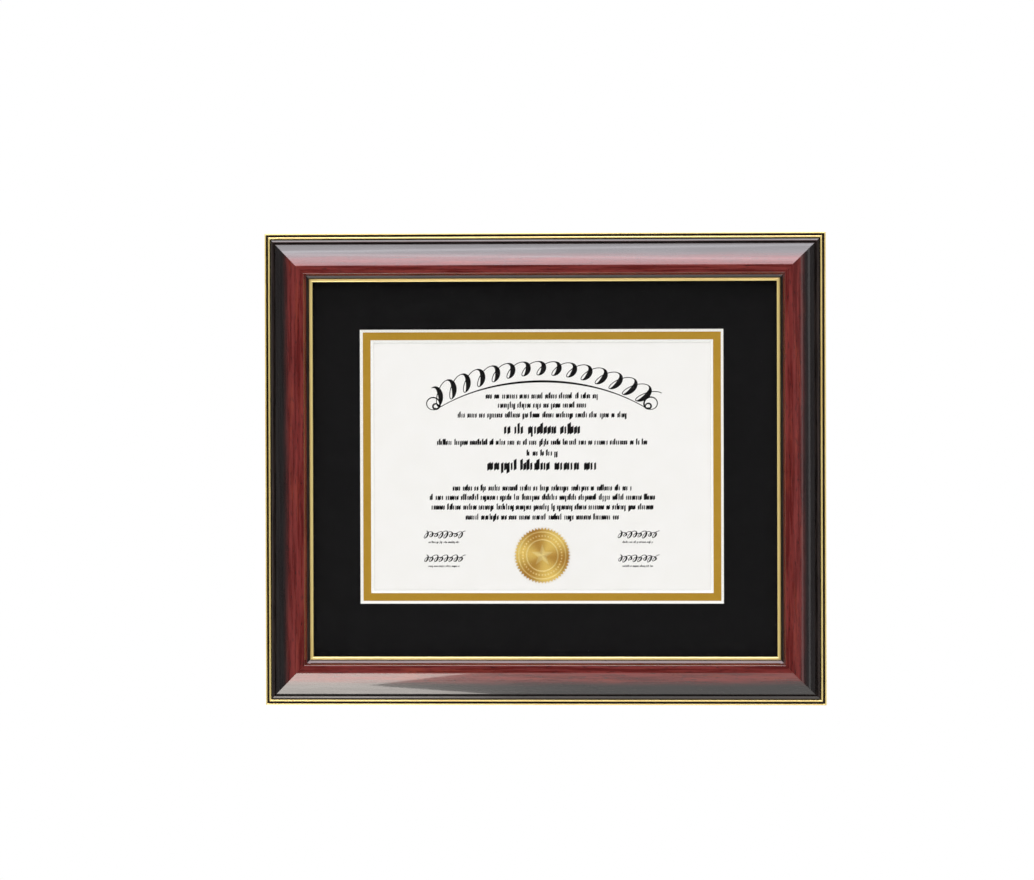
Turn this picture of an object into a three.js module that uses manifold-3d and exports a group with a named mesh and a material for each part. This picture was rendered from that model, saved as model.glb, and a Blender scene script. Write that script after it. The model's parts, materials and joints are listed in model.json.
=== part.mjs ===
// A wall-hung diploma frame. Four mitred lengths of lacquered wood moulding hold a sheet of glazing,
// two bevelled mats and a document with a foil seal. A panel closes the back, and turn buttons hold it.
//
// Millimetres, +Z up, +X to the right seen from the front, and the front faces -Y.
// The origin is the middle notch of the hanger, where the wall nail sits.
import * as THREE from 'three';
import { mergeVertices } from 'three/addons/utils/BufferGeometryUtils.js';
import Module from 'manifold-3d';

const wasm = await Module();
wasm.setup();

// Document, and how much of each edge the inner mat covers
const DOCUMENT_WIDTH = 279.4;
const DOCUMENT_HEIGHT = 215.9;
const DOCUMENT_THICKNESS = 0.25;
const DOCUMENT_COVER_X = 7.2;
const DOCUMENT_COVER_Z = 10.75;

// Foil seal near the window's lower edge, with a serrated edge, raised rings and a raised star
const SEAL_DIAMETER = 44.2;
const SEAL_THICKNESS = 0.3;
const SEAL_MARGIN = 5.2;
const SEAL_TEETH = 52;
const SEAL_TOOTH_DEPTH = 1.9;
const SEAL_RELIEF = 0.2;
const SEAL_RIM_INSET = 3.6;
const SEAL_RING_SPACING = 6.2;
const SEAL_RING_COUNT = 2;
const SEAL_RING_WIDTH = 1.0;
const SEAL_STAR_RADIUS = 9;
const SEAL_STAR_WAIST = 3.6;
const SEAL_STAR_POINTS = 5;

// Clear corner pockets that hold the document
const POCKET_LEG = 14;
const POCKET_FILM = 0.12;
const POCKET_CLEARANCE = 0.1;

// Mats
const MAT_THICKNESS = 2.4;
const MAT_BEVEL_ANGLE = 45;
const INNER_MAT_REVEAL = 5.8;
const OUTER_MAT_BORDER = 39.2;
const WINDOW_SHIFT_X = -2.6;
const WINDOW_SHIFT_Z = 2.0;

// The other sheets in the rabbet
const GLAZING_THICKNESS = 2.0;
const BACKING_THICKNESS = 3.2;
const PANEL_THICKNESS = 2.5;
const PANEL_RECESS = 0.2;
const SHEET_GAP = 0.1;
const SHEET_EDGE_CLEARANCE = 1.2;

// Moulding, with its heights measured forward from its back
const MOULDING_WIDTH = 38.1;
const RABBET_LIP = 6.5;
const LIP_THICKNESS = 2.2;
const CREST_RISE = 8.8;
const CREST_EASE = 0.7;
const FACE_SWELL = 0.35;
const EDGE_HEIGHT = 11.7;
const EDGE_BEAD_WIDTH = 1.1;
const EDGE_GROOVE_WIDTH = 1.7;
const EDGE_GROOVE_DEPTH = 0.6;
const GILT_BEAD_WIDTH = 1.4;
const GILT_BEAD_STEP = 0.7;
const GILT_GROOVE_WIDTH = 1.1;
const GILT_GROOVE_DEPTH = 0.4;
const CUSHION_WIDTH = 1.9;
const CUSHION_STEP = 0.5;
const CUSHION_RISE = 0.8;
const CUSHION_HANDLE_IN = 0.85;
const CUSHION_HANDLE_RISE = 0.7;
const QUIRK_WIDTH = 1.7;
const QUIRK_DEPTH = 0.3;
const QUIRK_RISE = 2.2;
const INNER_WIDTH = 7.5;
const CROWN_WIDTH = 5.8;
const CROWN_FALL = 0.6;
const SHOULDER_EASE = 0.5;
const FILLET_WIDTH = 2.2;
const FILLET_FALL = 1.0;
const SIGHT_BEAD_WIDTH = 2.7;
const MITRE_GAP = 0.05;

// V-shaped nails across the mitres
const V_NAIL_LEG = 6;
const V_NAIL_STEEL = 0.6;
const V_NAIL_LENGTH = 8;
const V_NAIL_RECESS = 0.2;
const V_NAIL_INSET = 10;

// Turn buttons and their screws
const BUTTON_PIVOT_OFFSET = 8;
const BUTTON_REACH = 18;
const BUTTON_HUB_RADIUS = 6;
const BUTTON_TIP_RADIUS = 3.6;
const BUTTON_STEEL = 1.0;
const BUTTON_BOW = 0.6;
const BUTTON_SPREAD_X = 220;
const BUTTON_SPREAD_Z = 160;
const SCREW_SHANK_RADIUS = 1.5;
const SCREW_LENGTH = 10;
const SCREW_TIP = 2.5;
const SCREW_HEAD_RADIUS = 3;
const SCREW_HEAD_HEIGHT = 1.8;
const SCREW_SLOT_WIDTH = 0.9;
const SCREW_SLOT_LENGTH = 3.6;
const SCREW_SLOT_DEPTH = 1.0;

// Sawtooth hanger and its brads
const HANGER_LENGTH = 64;
const HANGER_WIDTH = 11;
const HANGER_STEEL = 0.9;
const HANGER_RISE = 2.2;
const HANGER_FOOT = 9;
const HANGER_RAMP = 2.5;
const HANGER_INSET = 16;
const HANGER_CORNER = 3;
const TOOTH_PITCH = 2.6;
const TOOTH_DEPTH = 1.6;
const BRAD_SHANK_RADIUS = 0.9;
const BRAD_LENGTH = 9;
const BRAD_TIP = 2;
const BRAD_HEAD_RADIUS = 2.2;
const BRAD_HEAD_HEIGHT = 0.6;

// Rubber bumpers
const BUMPER_RADIUS = 6;
const BUMPER_HEIGHT = 3.4;
const BUMPER_ROUND = 1.2;
const BUMPER_INSET = 15;
const BUMPER_CORNER_DISTANCE = 45;

// Clearances
const SEAT_GAP = 0.1;
const RUNNING_GAP = 0.2;
const HOLE_CLEARANCE = 0.25;
const HOLE_END_CLEARANCE = 0.6;

// Smoothness of round shapes
const PROFILE_SEGMENTS = 8;
const ROUND_SEGMENTS = 18;
const CUT_OVERSHOOT = 1;

// Windows, from the paper outwards: each bevel opens towards the front
const BEVEL_RUN = MAT_THICKNESS / Math.tan(THREE.MathUtils.degToRad(MAT_BEVEL_ANGLE));
const grow = (size, margin) => new THREE.Vector2(size.x + 2 * margin, size.y + 2 * margin);
const documentSize = new THREE.Vector2(DOCUMENT_WIDTH, DOCUMENT_HEIGHT);
const innerWindow = new THREE.Vector2(
  DOCUMENT_WIDTH - 2 * DOCUMENT_COVER_X,
  DOCUMENT_HEIGHT - 2 * DOCUMENT_COVER_Z,
);
const outerWindow = grow(innerWindow, BEVEL_RUN + INNER_MAT_REVEAL);
const sightSize = grow(outerWindow, BEVEL_RUN + OUTER_MAT_BORDER);
const frameSize = grow(sightSize, MOULDING_WIDTH);
const sheetSize = grow(sightSize, RABBET_LIP - SHEET_EDGE_CLEARANCE);
const SEAL_DROP = innerWindow.y / 2 - SEAL_MARGIN - SEAL_DIAMETER / 2;

// The sheets from the back to the front, each with the depth of its middle
const POCKET_THICKNESS = DOCUMENT_THICKNESS + 2 * (POCKET_CLEARANCE + POCKET_FILM);
const sheetThickness = {
  panel: PANEL_THICKNESS,
  backing: BACKING_THICKNESS,
  document: POCKET_THICKNESS,
  innerMat: MAT_THICKNESS,
  outerMat: MAT_THICKNESS,
  glazing: GLAZING_THICKNESS,
};
const sheetDepth = {};
let stackDepth = PANEL_RECESS;
for (const [sheet, thickness] of Object.entries(sheetThickness)) {
  sheetDepth[sheet] = stackDepth + thickness / 2;
  stackDepth += thickness + SHEET_GAP;
}
const RABBET_DEPTH = stackDepth;
const MOULDING_DEPTH = RABBET_DEPTH + CREST_RISE;
const RABBET_WALL = MOULDING_WIDTH - RABBET_LIP;

// Seats on the back, as distances behind the moulding's back face
const BUTTON_SEAT = RUNNING_GAP;
const SCREW_HEAD_SEAT = BUTTON_SEAT + BUTTON_STEEL + RUNNING_GAP;
const BRAD_HEAD_SEAT = SEAT_GAP + HANGER_STEEL + SEAT_GAP;
const BUTTON_INSET = RABBET_WALL - BUTTON_PIVOT_OFFSET;
const BRAD_SPACING = HANGER_LENGTH - HANGER_FOOT;
const HANGER_BRIDGE = HANGER_LENGTH - 2 * (HANGER_FOOT + HANGER_RAMP);
const V_NAIL_INSETS = { outer: V_NAIL_INSET, inner: RABBET_WALL - V_NAIL_INSET };

// Finishes
const finishes = {
  lacquer: { color: 0x4a201e, roughness: 0.18, metalness: 0 },
  glass: { color: 0xdfe8e6, roughness: 0.04, metalness: 0, transparent: true, opacity: 0.15 },
  blackMat: { color: 0x161618, roughness: 0.9, metalness: 0 },
  goldMat: { color: 0xb18a32, roughness: 0.55, metalness: 0.3 },
  paper: { color: 0xf4f3ef, roughness: 0.85, metalness: 0 },
  foil: { color: 0xcfa650, roughness: 0.3, metalness: 1 },
  film: { color: 0xf2f4f4, roughness: 0.1, metalness: 0, transparent: true, opacity: 0.4 },
  foamBoard: { color: 0xeeece6, roughness: 0.9, metalness: 0 },
  hardboard: { color: 0x6e5138, roughness: 0.75, metalness: 0 },
  steel: { color: 0xb9bab8, roughness: 0.35, metalness: 1 },
  brass: { color: 0xb99a4e, roughness: 0.35, metalness: 1 },
  rubber: { color: 0x2a2a2b, roughness: 0.8, metalness: 0 },
};

/** A named mesh with a material of its own. */
function piece(name, geometry, finish) {
  const mesh = new THREE.Mesh(geometry, new THREE.MeshStandardMaterial(finishes[finish]));
  mesh.name = name;
  return mesh;
}

/** The solid that a closed geometry bounds, without the empty triangles that lie on a lathe's axis. */
function solid(geometry) {
  const bare = geometry.clone();
  bare.deleteAttribute('normal');
  bare.deleteAttribute('uv');
  const merged = mergeVertices(bare);
  const index = merged.getIndex().array;
  const triangles = [];
  for (let i = 0; i < index.length; i += 3) {
    const [a, b, c] = index.slice(i, i + 3);
    if (a !== b && b !== c && c !== a) triangles.push(a, b, c);
  }
  const mesh = new wasm.Mesh({
    numProp: 3,
    vertProperties: new Float32Array(merged.getAttribute('position').array),
    triVerts: new Uint32Array(triangles),
  });
  return new wasm.Manifold(mesh);
}

/** A flat-shaded geometry of a solid. */
function faceted(body) {
  const mesh = body.getMesh();
  const geometry = new THREE.BufferGeometry();
  geometry.setAttribute('position', new THREE.BufferAttribute(mesh.vertProperties, mesh.numProp));
  geometry.setIndex(new THREE.BufferAttribute(mesh.triVerts, 1));
  const flat = geometry.toNonIndexed();
  flat.computeVertexNormals();
  return flat;
}

/** A base geometry with every geometry in the list cut away. */
function cut(base, tools) {
  return faceted(tools.reduce((body, tool) => body.subtract(solid(tool)), solid(base)));
}

/** A base geometry with every geometry in the list joined on. */
function join(base, additions) {
  return faceted(additions.reduce((body, addition) => body.add(solid(addition)), solid(base)));
}

/** The volume that two geometries share. */
function common(first, second) {
  return faceted(solid(first).intersect(solid(second)));
}

/** An outline in X and Z as a plate that reaches from back (y) forward by its thickness. */
function plate(shape, thickness, back, curveSegments = PROFILE_SEGMENTS) {
  const options = { depth: thickness, bevelEnabled: false, curveSegments };
  return new THREE.ExtrudeGeometry(shape, options).rotateX(Math.PI / 2).translate(0, back, 0);
}

/** A body turned about the Y axis, from radius and y points that start and end on the axis. */
function turned(points) {
  return new THREE.LatheGeometry(points, ROUND_SEGMENTS);
}

/** A round hole's cutter, along Y, from the back face forward. */
function drill(radius, depth) {
  const length = depth + CUT_OVERSHOOT;
  const tool = new THREE.CylinderGeometry(radius, radius, length, ROUND_SEGMENTS);
  return tool.translate(0, CUT_OVERSHOOT - length / 2, 0);
}

/** A strip of sheet metal seen from its edge: a line of points and the same line one thickness higher. */
function stripOutline(line, thickness) {
  const upper = line.map((point) => new THREE.Vector2(point.x, point.y + thickness));
  return new THREE.Shape([...line, ...upper.reverse()]);
}

/**
 * The moulding's section: x is the distance in from the frame's outer side, y the distance forward from
 * its back. From the outside: gilt edge bead, groove, gilt bead, groove, black cushion, quirk, wide
 * swelling face, crest, narrow crown, steep inner slope, black fillet, gilt sight bead, lip and rabbet.
 */
function mouldingSection() {
  const section = new THREE.Shape();
  let across = 0;
  let height = EDGE_HEIGHT;
  const bead = (width) => {
    section.absarc(across + width / 2, height, width / 2, Math.PI, 0, true);
    across += width;
  };
  const groove = (width, depth) => {
    section.lineTo(across, height - depth);
    across += width;
    section.lineTo(across, height - depth);
  };
  section.moveTo(0, 0);
  section.lineTo(across, height);
  bead(EDGE_BEAD_WIDTH);
  groove(EDGE_GROOVE_WIDTH, EDGE_GROOVE_DEPTH);
  height += GILT_BEAD_STEP;
  section.lineTo(across, height);
  bead(GILT_BEAD_WIDTH);
  groove(GILT_GROOVE_WIDTH, GILT_GROOVE_DEPTH);
  height += CUSHION_STEP;
  section.lineTo(across, height);
  const cushionEnd = new THREE.Vector2(across + CUSHION_WIDTH, height + CUSHION_RISE);
  const cushionHandle = new THREE.Vector2(across + CUSHION_HANDLE_IN, height + CUSHION_HANDLE_RISE);
  section.quadraticCurveTo(cushionHandle.x, cushionHandle.y, cushionEnd.x, cushionEnd.y);
  across = cushionEnd.x;
  groove(QUIRK_WIDTH, QUIRK_DEPTH);
  const quirkEnd = new THREE.Vector2(across, height + QUIRK_RISE);
  section.lineTo(quirkEnd.x, quirkEnd.y);

  const filletIn = MOULDING_WIDTH - SIGHT_BEAD_WIDTH - FILLET_WIDTH;
  const lipFront = RABBET_DEPTH + LIP_THICKNESS;
  const crest = new THREE.Vector2(filletIn - INNER_WIDTH, MOULDING_DEPTH);
  const chord = crest.clone().sub(quirkEnd).normalize();
  const faceHandle = quirkEnd.clone().lerp(crest, 0.5);
  faceHandle.add(new THREE.Vector2(-chord.y, chord.x).multiplyScalar(2 * FACE_SWELL));
  const shoulder = new THREE.Vector2(crest.x + CROWN_WIDTH, crest.y - CROWN_FALL);
  const slopeEnd = new THREE.Vector2(filletIn, lipFront + FILLET_FALL);
  const stepTo = (from, to, reach) => from.clone().add(to.clone().sub(from).setLength(reach));
  const faceEnd = stepTo(crest, faceHandle, CREST_EASE);
  const crownStart = stepTo(crest, shoulder, CREST_EASE);
  const crownEnd = stepTo(shoulder, crest, SHOULDER_EASE);
  const slopeStart = stepTo(shoulder, slopeEnd, SHOULDER_EASE);
  section.quadraticCurveTo(faceHandle.x, faceHandle.y, faceEnd.x, faceEnd.y);
  section.quadraticCurveTo(crest.x, crest.y, crownStart.x, crownStart.y);
  section.lineTo(crownEnd.x, crownEnd.y);
  section.quadraticCurveTo(shoulder.x, shoulder.y, slopeStart.x, slopeStart.y);
  section.lineTo(slopeEnd.x, slopeEnd.y);

  across = filletIn + FILLET_WIDTH;
  height = lipFront;
  section.lineTo(across, height);
  bead(SIGHT_BEAD_WIDTH);
  section.lineTo(MOULDING_WIDTH, RABBET_DEPTH);
  section.lineTo(RABBET_WALL, RABBET_DEPTH);
  section.lineTo(RABBET_WALL, 0);
  return section;
}

/**
 * A length of moulding along X with its outer side at z = 0 and its back at y = 0.
 * Each end is cut at 45 degrees: a point that lies further in from the outer side lies nearer the middle.
 */
function mitredRail(section, length) {
  const options = { depth: 1, bevelEnabled: false, curveSegments: PROFILE_SEGMENTS };
  const rail = new THREE.ExtrudeGeometry(section, options);
  const position = rail.getAttribute('position');
  for (let i = 0; i < position.count; i += 1) {
    const inward = position.getX(i);
    const forward = position.getY(i);
    const end = position.getZ(i) < 0.5 ? 1 : -1;
    position.setXYZ(i, end * (length / 2 - inward - MITRE_GAP), -forward, -inward);
  }
  rail.computeVertexNormals();
  return rail;
}

/** A sheet's window as a solid: its opening is given at the back, and widens by its bevel to the front. */
function windowCutter(opening) {
  const depth = MAT_THICKNESS + 2 * CUT_OVERSHOOT;
  const widening = BEVEL_RUN / MAT_THICKNESS;
  const cutter = new THREE.BoxGeometry(opening.x, depth, opening.y);
  const position = cutter.getAttribute('position');
  for (let i = 0; i < position.count; i += 1) {
    const behind = position.getY(i) > 0;
    const spread = behind ? -widening * CUT_OVERSHOOT : widening * (depth - CUT_OVERSHOOT);
    position.setX(i, position.getX(i) + Math.sign(position.getX(i)) * spread);
    position.setZ(i, position.getZ(i) + Math.sign(position.getZ(i)) * spread);
  }
  return cutter;
}

/** A flat sheet that fills the rabbet. */
function rabbetSheet(thickness) {
  return new THREE.BoxGeometry(sheetSize.x, thickness, sheetSize.y);
}

/** A mat: a rabbet sheet with a bevelled window, moved off the middle as the document is. */
function mat(opening) {
  const cutter = windowCutter(opening).translate(WINDOW_SHIFT_X, 0, WINDOW_SHIFT_Z);
  return cut(rabbetSheet(MAT_THICKNESS), [cutter]);
}

/** The foil seal, flat on y = 0 and raised towards -Y. */
function foilSeal() {
  const radius = SEAL_DIAMETER / 2;
  const serration = (count, outer, inner) => {
    const points = [];
    for (let i = 0; i < 2 * count; i += 1) {
      const angle = Math.PI / 2 + (i * Math.PI) / count;
      const reach = i % 2 === 0 ? outer : inner;
      points.push(new THREE.Vector2(reach * Math.cos(angle), reach * Math.sin(angle)));
    }
    return new THREE.Shape(points);
  };
  const raised = [plate(serration(SEAL_STAR_POINTS, SEAL_STAR_RADIUS, SEAL_STAR_WAIST),
    SEAL_THICKNESS + SEAL_RELIEF, 0)];
  for (let ring = 0; ring < SEAL_RING_COUNT; ring += 1) {
    const middle = radius - SEAL_RIM_INSET - ring * SEAL_RING_SPACING;
    const outline = new THREE.Shape().absarc(0, 0, middle + SEAL_RING_WIDTH / 2, 0, 2 * Math.PI);
    outline.holes.push(new THREE.Path().absarc(0, 0, middle - SEAL_RING_WIDTH / 2, 0, 2 * Math.PI));
    raised.push(plate(outline, SEAL_THICKNESS + SEAL_RELIEF, 0, ROUND_SEGMENTS));
  }
  const blank = plate(serration(SEAL_TEETH, radius, radius - SEAL_TOOTH_DEPTH), SEAL_THICKNESS, 0);
  return join(blank, raised);
}

/** A folded film pocket over the document's upper right corner, which lies at x = 0, z = 0. */
function cornerPocket() {
  const fold = POCKET_CLEARANCE + POCKET_FILM;
  const outline = new THREE.Shape();
  outline.moveTo(fold, fold);
  outline.lineTo(-POCKET_LEG, fold);
  outline.lineTo(fold, -POCKET_LEG);
  const pocket = plate(outline, POCKET_THICKNESS, POCKET_THICKNESS / 2);
  const reach = 2 * POCKET_LEG;
  const space = new THREE.BoxGeometry(reach, DOCUMENT_THICKNESS + 2 * POCKET_CLEARANCE, reach);
  space.translate(POCKET_CLEARANCE - reach / 2, 0, POCKET_CLEARANCE - reach / 2);
  return cut(pocket, [space]);
}

/**
 * A V-nail for the upper right corner, with its point at x = 0, z = 0 and its legs along -X and -Z.
 * With a margin and a back above the wood it is the slot that the nail sits in.
 */
function vNail(margin, back) {
  const outer = V_NAIL_STEEL / 2 + margin;
  const leg = -V_NAIL_LEG - margin;
  const outline = new THREE.Shape();
  outline.moveTo(outer, outer);
  outline.lineTo(leg, outer);
  outline.lineTo(leg, -outer);
  outline.lineTo(-outer, -outer);
  outline.lineTo(-outer, leg);
  outline.lineTo(outer, leg);
  const front = -V_NAIL_RECESS - V_NAIL_LENGTH - margin;
  return plate(outline, back - front, back);
}

/** A sheet-metal turn button on y = 0: round hub at x = 0, z = 0, bowed arm and round tip towards -Z. */
function turnButton() {
  const lean = Math.acos((BUTTON_HUB_RADIUS - BUTTON_TIP_RADIUS) / BUTTON_REACH);
  const down = (3 * Math.PI) / 2;
  const outline = new THREE.Shape();
  outline.absarc(0, 0, BUTTON_HUB_RADIUS, down + lean - 2 * Math.PI, down - lean, false);
  outline.absarc(0, -BUTTON_REACH, BUTTON_TIP_RADIUS, down - lean, down + lean, false);
  const bore = SCREW_SHANK_RADIUS + HOLE_CLEARANCE;
  outline.holes.push(new THREE.Path().absarc(0, 0, bore, 0, 2 * Math.PI));
  const height = BUTTON_STEEL + BUTTON_BOW;
  const flat = plate(outline, height + 2 * CUT_OVERSHOOT, height + CUT_OVERSHOOT);

  const edge = new THREE.Path();
  edge.moveTo(-BUTTON_HUB_RADIUS - CUT_OVERSHOOT, 0);
  edge.lineTo(BUTTON_HUB_RADIUS, 0);
  const arch = (BUTTON_HUB_RADIUS + BUTTON_REACH) / 2;
  edge.quadraticCurveTo(arch, 2 * BUTTON_BOW, BUTTON_REACH, 0);
  edge.lineTo(BUTTON_REACH + BUTTON_TIP_RADIUS + CUT_OVERSHOOT, BUTTON_BOW);
  const width = 2 * (BUTTON_HUB_RADIUS + CUT_OVERSHOOT);
  const strip = new THREE.ExtrudeGeometry(
    stripOutline(edge.getPoints(PROFILE_SEGMENTS), BUTTON_STEEL),
    { depth: width, bevelEnabled: false },
  );
  return common(flat, strip.translate(0, 0, -width / 2).rotateY(Math.PI / 2));
}

/** A pan-head screw along Y with its head seated on y = 0 and a cross recess in the head. */
function panScrew() {
  const length = SCREW_LENGTH + SCREW_HEAD_SEAT;
  const profile = new THREE.Path();
  profile.moveTo(0, -length);
  profile.lineTo(SCREW_SHANK_RADIUS, SCREW_TIP - length);
  profile.lineTo(SCREW_SHANK_RADIUS, 0);
  profile.lineTo(SCREW_HEAD_RADIUS, 0);
  profile.lineTo(SCREW_HEAD_RADIUS, SCREW_HEAD_HEIGHT / 2);
  profile.quadraticCurveTo(SCREW_HEAD_RADIUS, SCREW_HEAD_HEIGHT, SCREW_HEAD_RADIUS / 2, SCREW_HEAD_HEIGHT);
  profile.lineTo(0, SCREW_HEAD_HEIGHT);
  const slotDepth = SCREW_SLOT_DEPTH + CUT_OVERSHOOT;
  const slotMiddle = SCREW_HEAD_HEIGHT - SCREW_SLOT_DEPTH + slotDepth / 2;
  const slot = new THREE.BoxGeometry(SCREW_SLOT_LENGTH, slotDepth, SCREW_SLOT_WIDTH);
  slot.translate(0, slotMiddle, 0);
  const crossed = slot.clone().rotateY(Math.PI / 2);
  return cut(turned(profile.getPoints(PROFILE_SEGMENTS / 2)), [slot, crossed]);
}

/** The sawtooth hanger on y = 0: a bridge of strip steel with its teeth along the lower edge. */
function sawtoothHanger() {
  const half = HANGER_LENGTH / 2;
  const top = HANGER_WIDTH / 2;
  const bridgeEnd = HANGER_BRIDGE / 2;
  const toothCount = 2 * Math.floor(bridgeEnd / TOOTH_PITCH) - 1;
  const teethEnd = (toothCount * TOOTH_PITCH) / 2;
  const outline = new THREE.Shape();
  outline.moveTo(-half, HANGER_CORNER - top);
  outline.absarc(HANGER_CORNER - half, HANGER_CORNER - top, HANGER_CORNER, Math.PI, 1.5 * Math.PI, false);
  for (let tooth = 0; tooth < toothCount; tooth += 1) {
    const start = tooth * TOOTH_PITCH - teethEnd;
    outline.lineTo(start, -top);
    outline.lineTo(start + TOOTH_PITCH / 2, TOOTH_DEPTH - top);
  }
  outline.lineTo(teethEnd, -top);
  outline.absarc(half - HANGER_CORNER, HANGER_CORNER - top, HANGER_CORNER, 1.5 * Math.PI, 2 * Math.PI, false);
  outline.absarc(half - HANGER_CORNER, top - HANGER_CORNER, HANGER_CORNER, 0, Math.PI / 2, false);
  outline.absarc(HANGER_CORNER - half, top - HANGER_CORNER, HANGER_CORNER, Math.PI / 2, Math.PI, false);
  for (const side of [-1, 1]) {
    const hole = new THREE.Path();
    const radius = BRAD_SHANK_RADIUS + HOLE_CLEARANCE;
    hole.absarc((side * BRAD_SPACING) / 2, 0, radius, 0, 2 * Math.PI);
    outline.holes.push(hole);
  }
  const height = HANGER_RISE + HANGER_STEEL;
  const flat = plate(outline, height + 2 * CUT_OVERSHOOT, height + CUT_OVERSHOOT);

  const edge = [
    new THREE.Vector2(-half - CUT_OVERSHOOT, 0),
    new THREE.Vector2(-bridgeEnd - HANGER_RAMP, 0),
    new THREE.Vector2(-bridgeEnd, HANGER_RISE),
    new THREE.Vector2(bridgeEnd, HANGER_RISE),
    new THREE.Vector2(bridgeEnd + HANGER_RAMP, 0),
    new THREE.Vector2(half + CUT_OVERSHOOT, 0),
  ];
  const width = HANGER_WIDTH + 2 * CUT_OVERSHOOT;
  const options = { depth: width, bevelEnabled: false };
  const strip = new THREE.ExtrudeGeometry(stripOutline(edge, HANGER_STEEL), options);
  return common(flat, strip.translate(0, 0, -width / 2));
}

/** A brad along Y with its flat head seated on y = 0. */
function brad() {
  const length = BRAD_LENGTH + BRAD_HEAD_SEAT;
  return turned([
    new THREE.Vector2(0, -length),
    new THREE.Vector2(BRAD_SHANK_RADIUS, BRAD_TIP - length),
    new THREE.Vector2(BRAD_SHANK_RADIUS, 0),
    new THREE.Vector2(BRAD_HEAD_RADIUS, 0),
    new THREE.Vector2(BRAD_HEAD_RADIUS, BRAD_HEAD_HEIGHT),
    new THREE.Vector2(0, BRAD_HEAD_HEIGHT),
  ]);
}

/** A rubber bumper on y = 0 with a rounded rim and a flat rear face. */
function bumper() {
  const profile = new THREE.Path();
  profile.moveTo(0, 0);
  profile.lineTo(BUMPER_RADIUS, 0);
  profile.lineTo(BUMPER_RADIUS, BUMPER_HEIGHT - BUMPER_ROUND);
  const rim = new THREE.Vector2(BUMPER_RADIUS - BUMPER_ROUND, BUMPER_HEIGHT - BUMPER_ROUND);
  profile.absarc(rim.x, rim.y, BUMPER_ROUND, 0, Math.PI / 2, false);
  profile.lineTo(0, BUMPER_HEIGHT);
  return turned(profile.getPoints(PROFILE_SEGMENTS / 2));
}

// The frame is laid out about the middle of its back, and each rail in a group turned about the Y axis.
// In a rail's group +Z points out of the frame and z = 0 is the rail's outer side.
const frame = new THREE.Group();
const section = mouldingSection();
const horizontal = { length: frameSize.x, distance: frameSize.y / 2, spread: BUTTON_SPREAD_X };
const vertical = { length: frameSize.y, distance: frameSize.x / 2, spread: BUTTON_SPREAD_Z };
const sides = [
  { name: 'top', turn: 0, ends: ['left', 'right'], ...horizontal },
  { name: 'right', turn: Math.PI / 2, ends: ['upper', 'lower'], ...vertical },
  { name: 'bottom', turn: Math.PI, ends: ['right', 'left'], ...horizontal },
  { name: 'left', turn: -Math.PI / 2, ends: ['lower', 'upper'], ...vertical },
];
const railGroups = {};
for (const side of sides) {
  const group = new THREE.Group();
  group.rotation.y = side.turn;
  group.position.set(side.distance * Math.sin(side.turn), 0, side.distance * Math.cos(side.turn));
  frame.add(group);
  railGroups[side.name] = group;

  const cutters = [];
  side.ends.forEach((end, index) => {
    const along = (index - 0.5) * side.spread;
    const button = piece(`turn_button_${side.name}_${end}`, turnButton(), 'brass');
    button.position.set(along, BUTTON_SEAT, -BUTTON_INSET);
    const screw = piece(`turn_screw_${side.name}_${end}`, panScrew(), 'steel');
    screw.position.set(along, SCREW_HEAD_SEAT, -BUTTON_INSET);
    group.add(button, screw);
    const pilot = drill(SCREW_SHANK_RADIUS + HOLE_CLEARANCE, SCREW_LENGTH + HOLE_END_CLEARANCE);
    cutters.push(pilot.translate(along, 0, -BUTTON_INSET));
  });
  for (const inset of Object.values(V_NAIL_INSETS)) {
    const corner = side.length / 2 - inset;
    const slot = vNail(HOLE_CLEARANCE, CUT_OVERSHOOT);
    cutters.push(slot.clone().translate(corner, 0, -inset));
    cutters.push(slot.rotateY(-Math.PI / 2).translate(-corner, 0, -inset));
  }
  if (side.name === 'top') {
    for (const [index, end] of side.ends.entries()) {
      const along = (index - 0.5) * BRAD_SPACING;
      const nail = piece(`hanger_brad_${end}`, brad(), 'steel');
      nail.position.set(along, BRAD_HEAD_SEAT, -HANGER_INSET);
      group.add(nail);
      const hole = drill(BRAD_SHANK_RADIUS + HOLE_CLEARANCE, BRAD_LENGTH + HOLE_END_CLEARANCE);
      cutters.push(hole.translate(along, 0, -HANGER_INSET));
    }
  }
  group.add(piece(`rail_${side.name}`, cut(mitredRail(section, side.length), cutters), 'lacquer'));
}

const hanger = piece('sawtooth_hanger', sawtoothHanger(), 'steel');
hanger.position.set(0, SEAT_GAP, -HANGER_INSET);
railGroups.top.add(hanger);

const bumperDistance = frameSize.x / 2 - BUMPER_CORNER_DISTANCE;
for (const [end, along] of [['right', -bumperDistance], ['left', bumperDistance]]) {
  const foot = piece(`bumper_${end}`, bumper(), 'rubber');
  foot.position.set(along, SEAT_GAP, -BUMPER_INSET);
  railGroups.bottom.add(foot);
}

// The corners in turn from the upper right one, each a quarter turn about the Y axis from the last
const corners = ['top_right', 'bottom_right', 'bottom_left', 'top_left'];
corners.forEach((corner, quarter) => {
  const turn = (quarter * Math.PI) / 2;
  const signX = corner.endsWith('right') ? 1 : -1;
  const signZ = corner.startsWith('top') ? 1 : -1;
  for (const [place, inset] of Object.entries(V_NAIL_INSETS)) {
    const nail = piece(`v_nail_${corner}_${place}`, vNail(0, -V_NAIL_RECESS), 'steel');
    nail.rotation.y = turn;
    nail.position.set(signX * (frameSize.x / 2 - inset), 0, signZ * (frameSize.y / 2 - inset));
    frame.add(nail);
  }
  const pocket = piece(`document_corner_${corner}`, cornerPocket(), 'film');
  pocket.rotation.y = turn;
  pocket.position.set(
    WINDOW_SHIFT_X + (signX * documentSize.x) / 2,
    -sheetDepth.document,
    WINDOW_SHIFT_Z + (signZ * documentSize.y) / 2,
  );
  frame.add(pocket);
});

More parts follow.
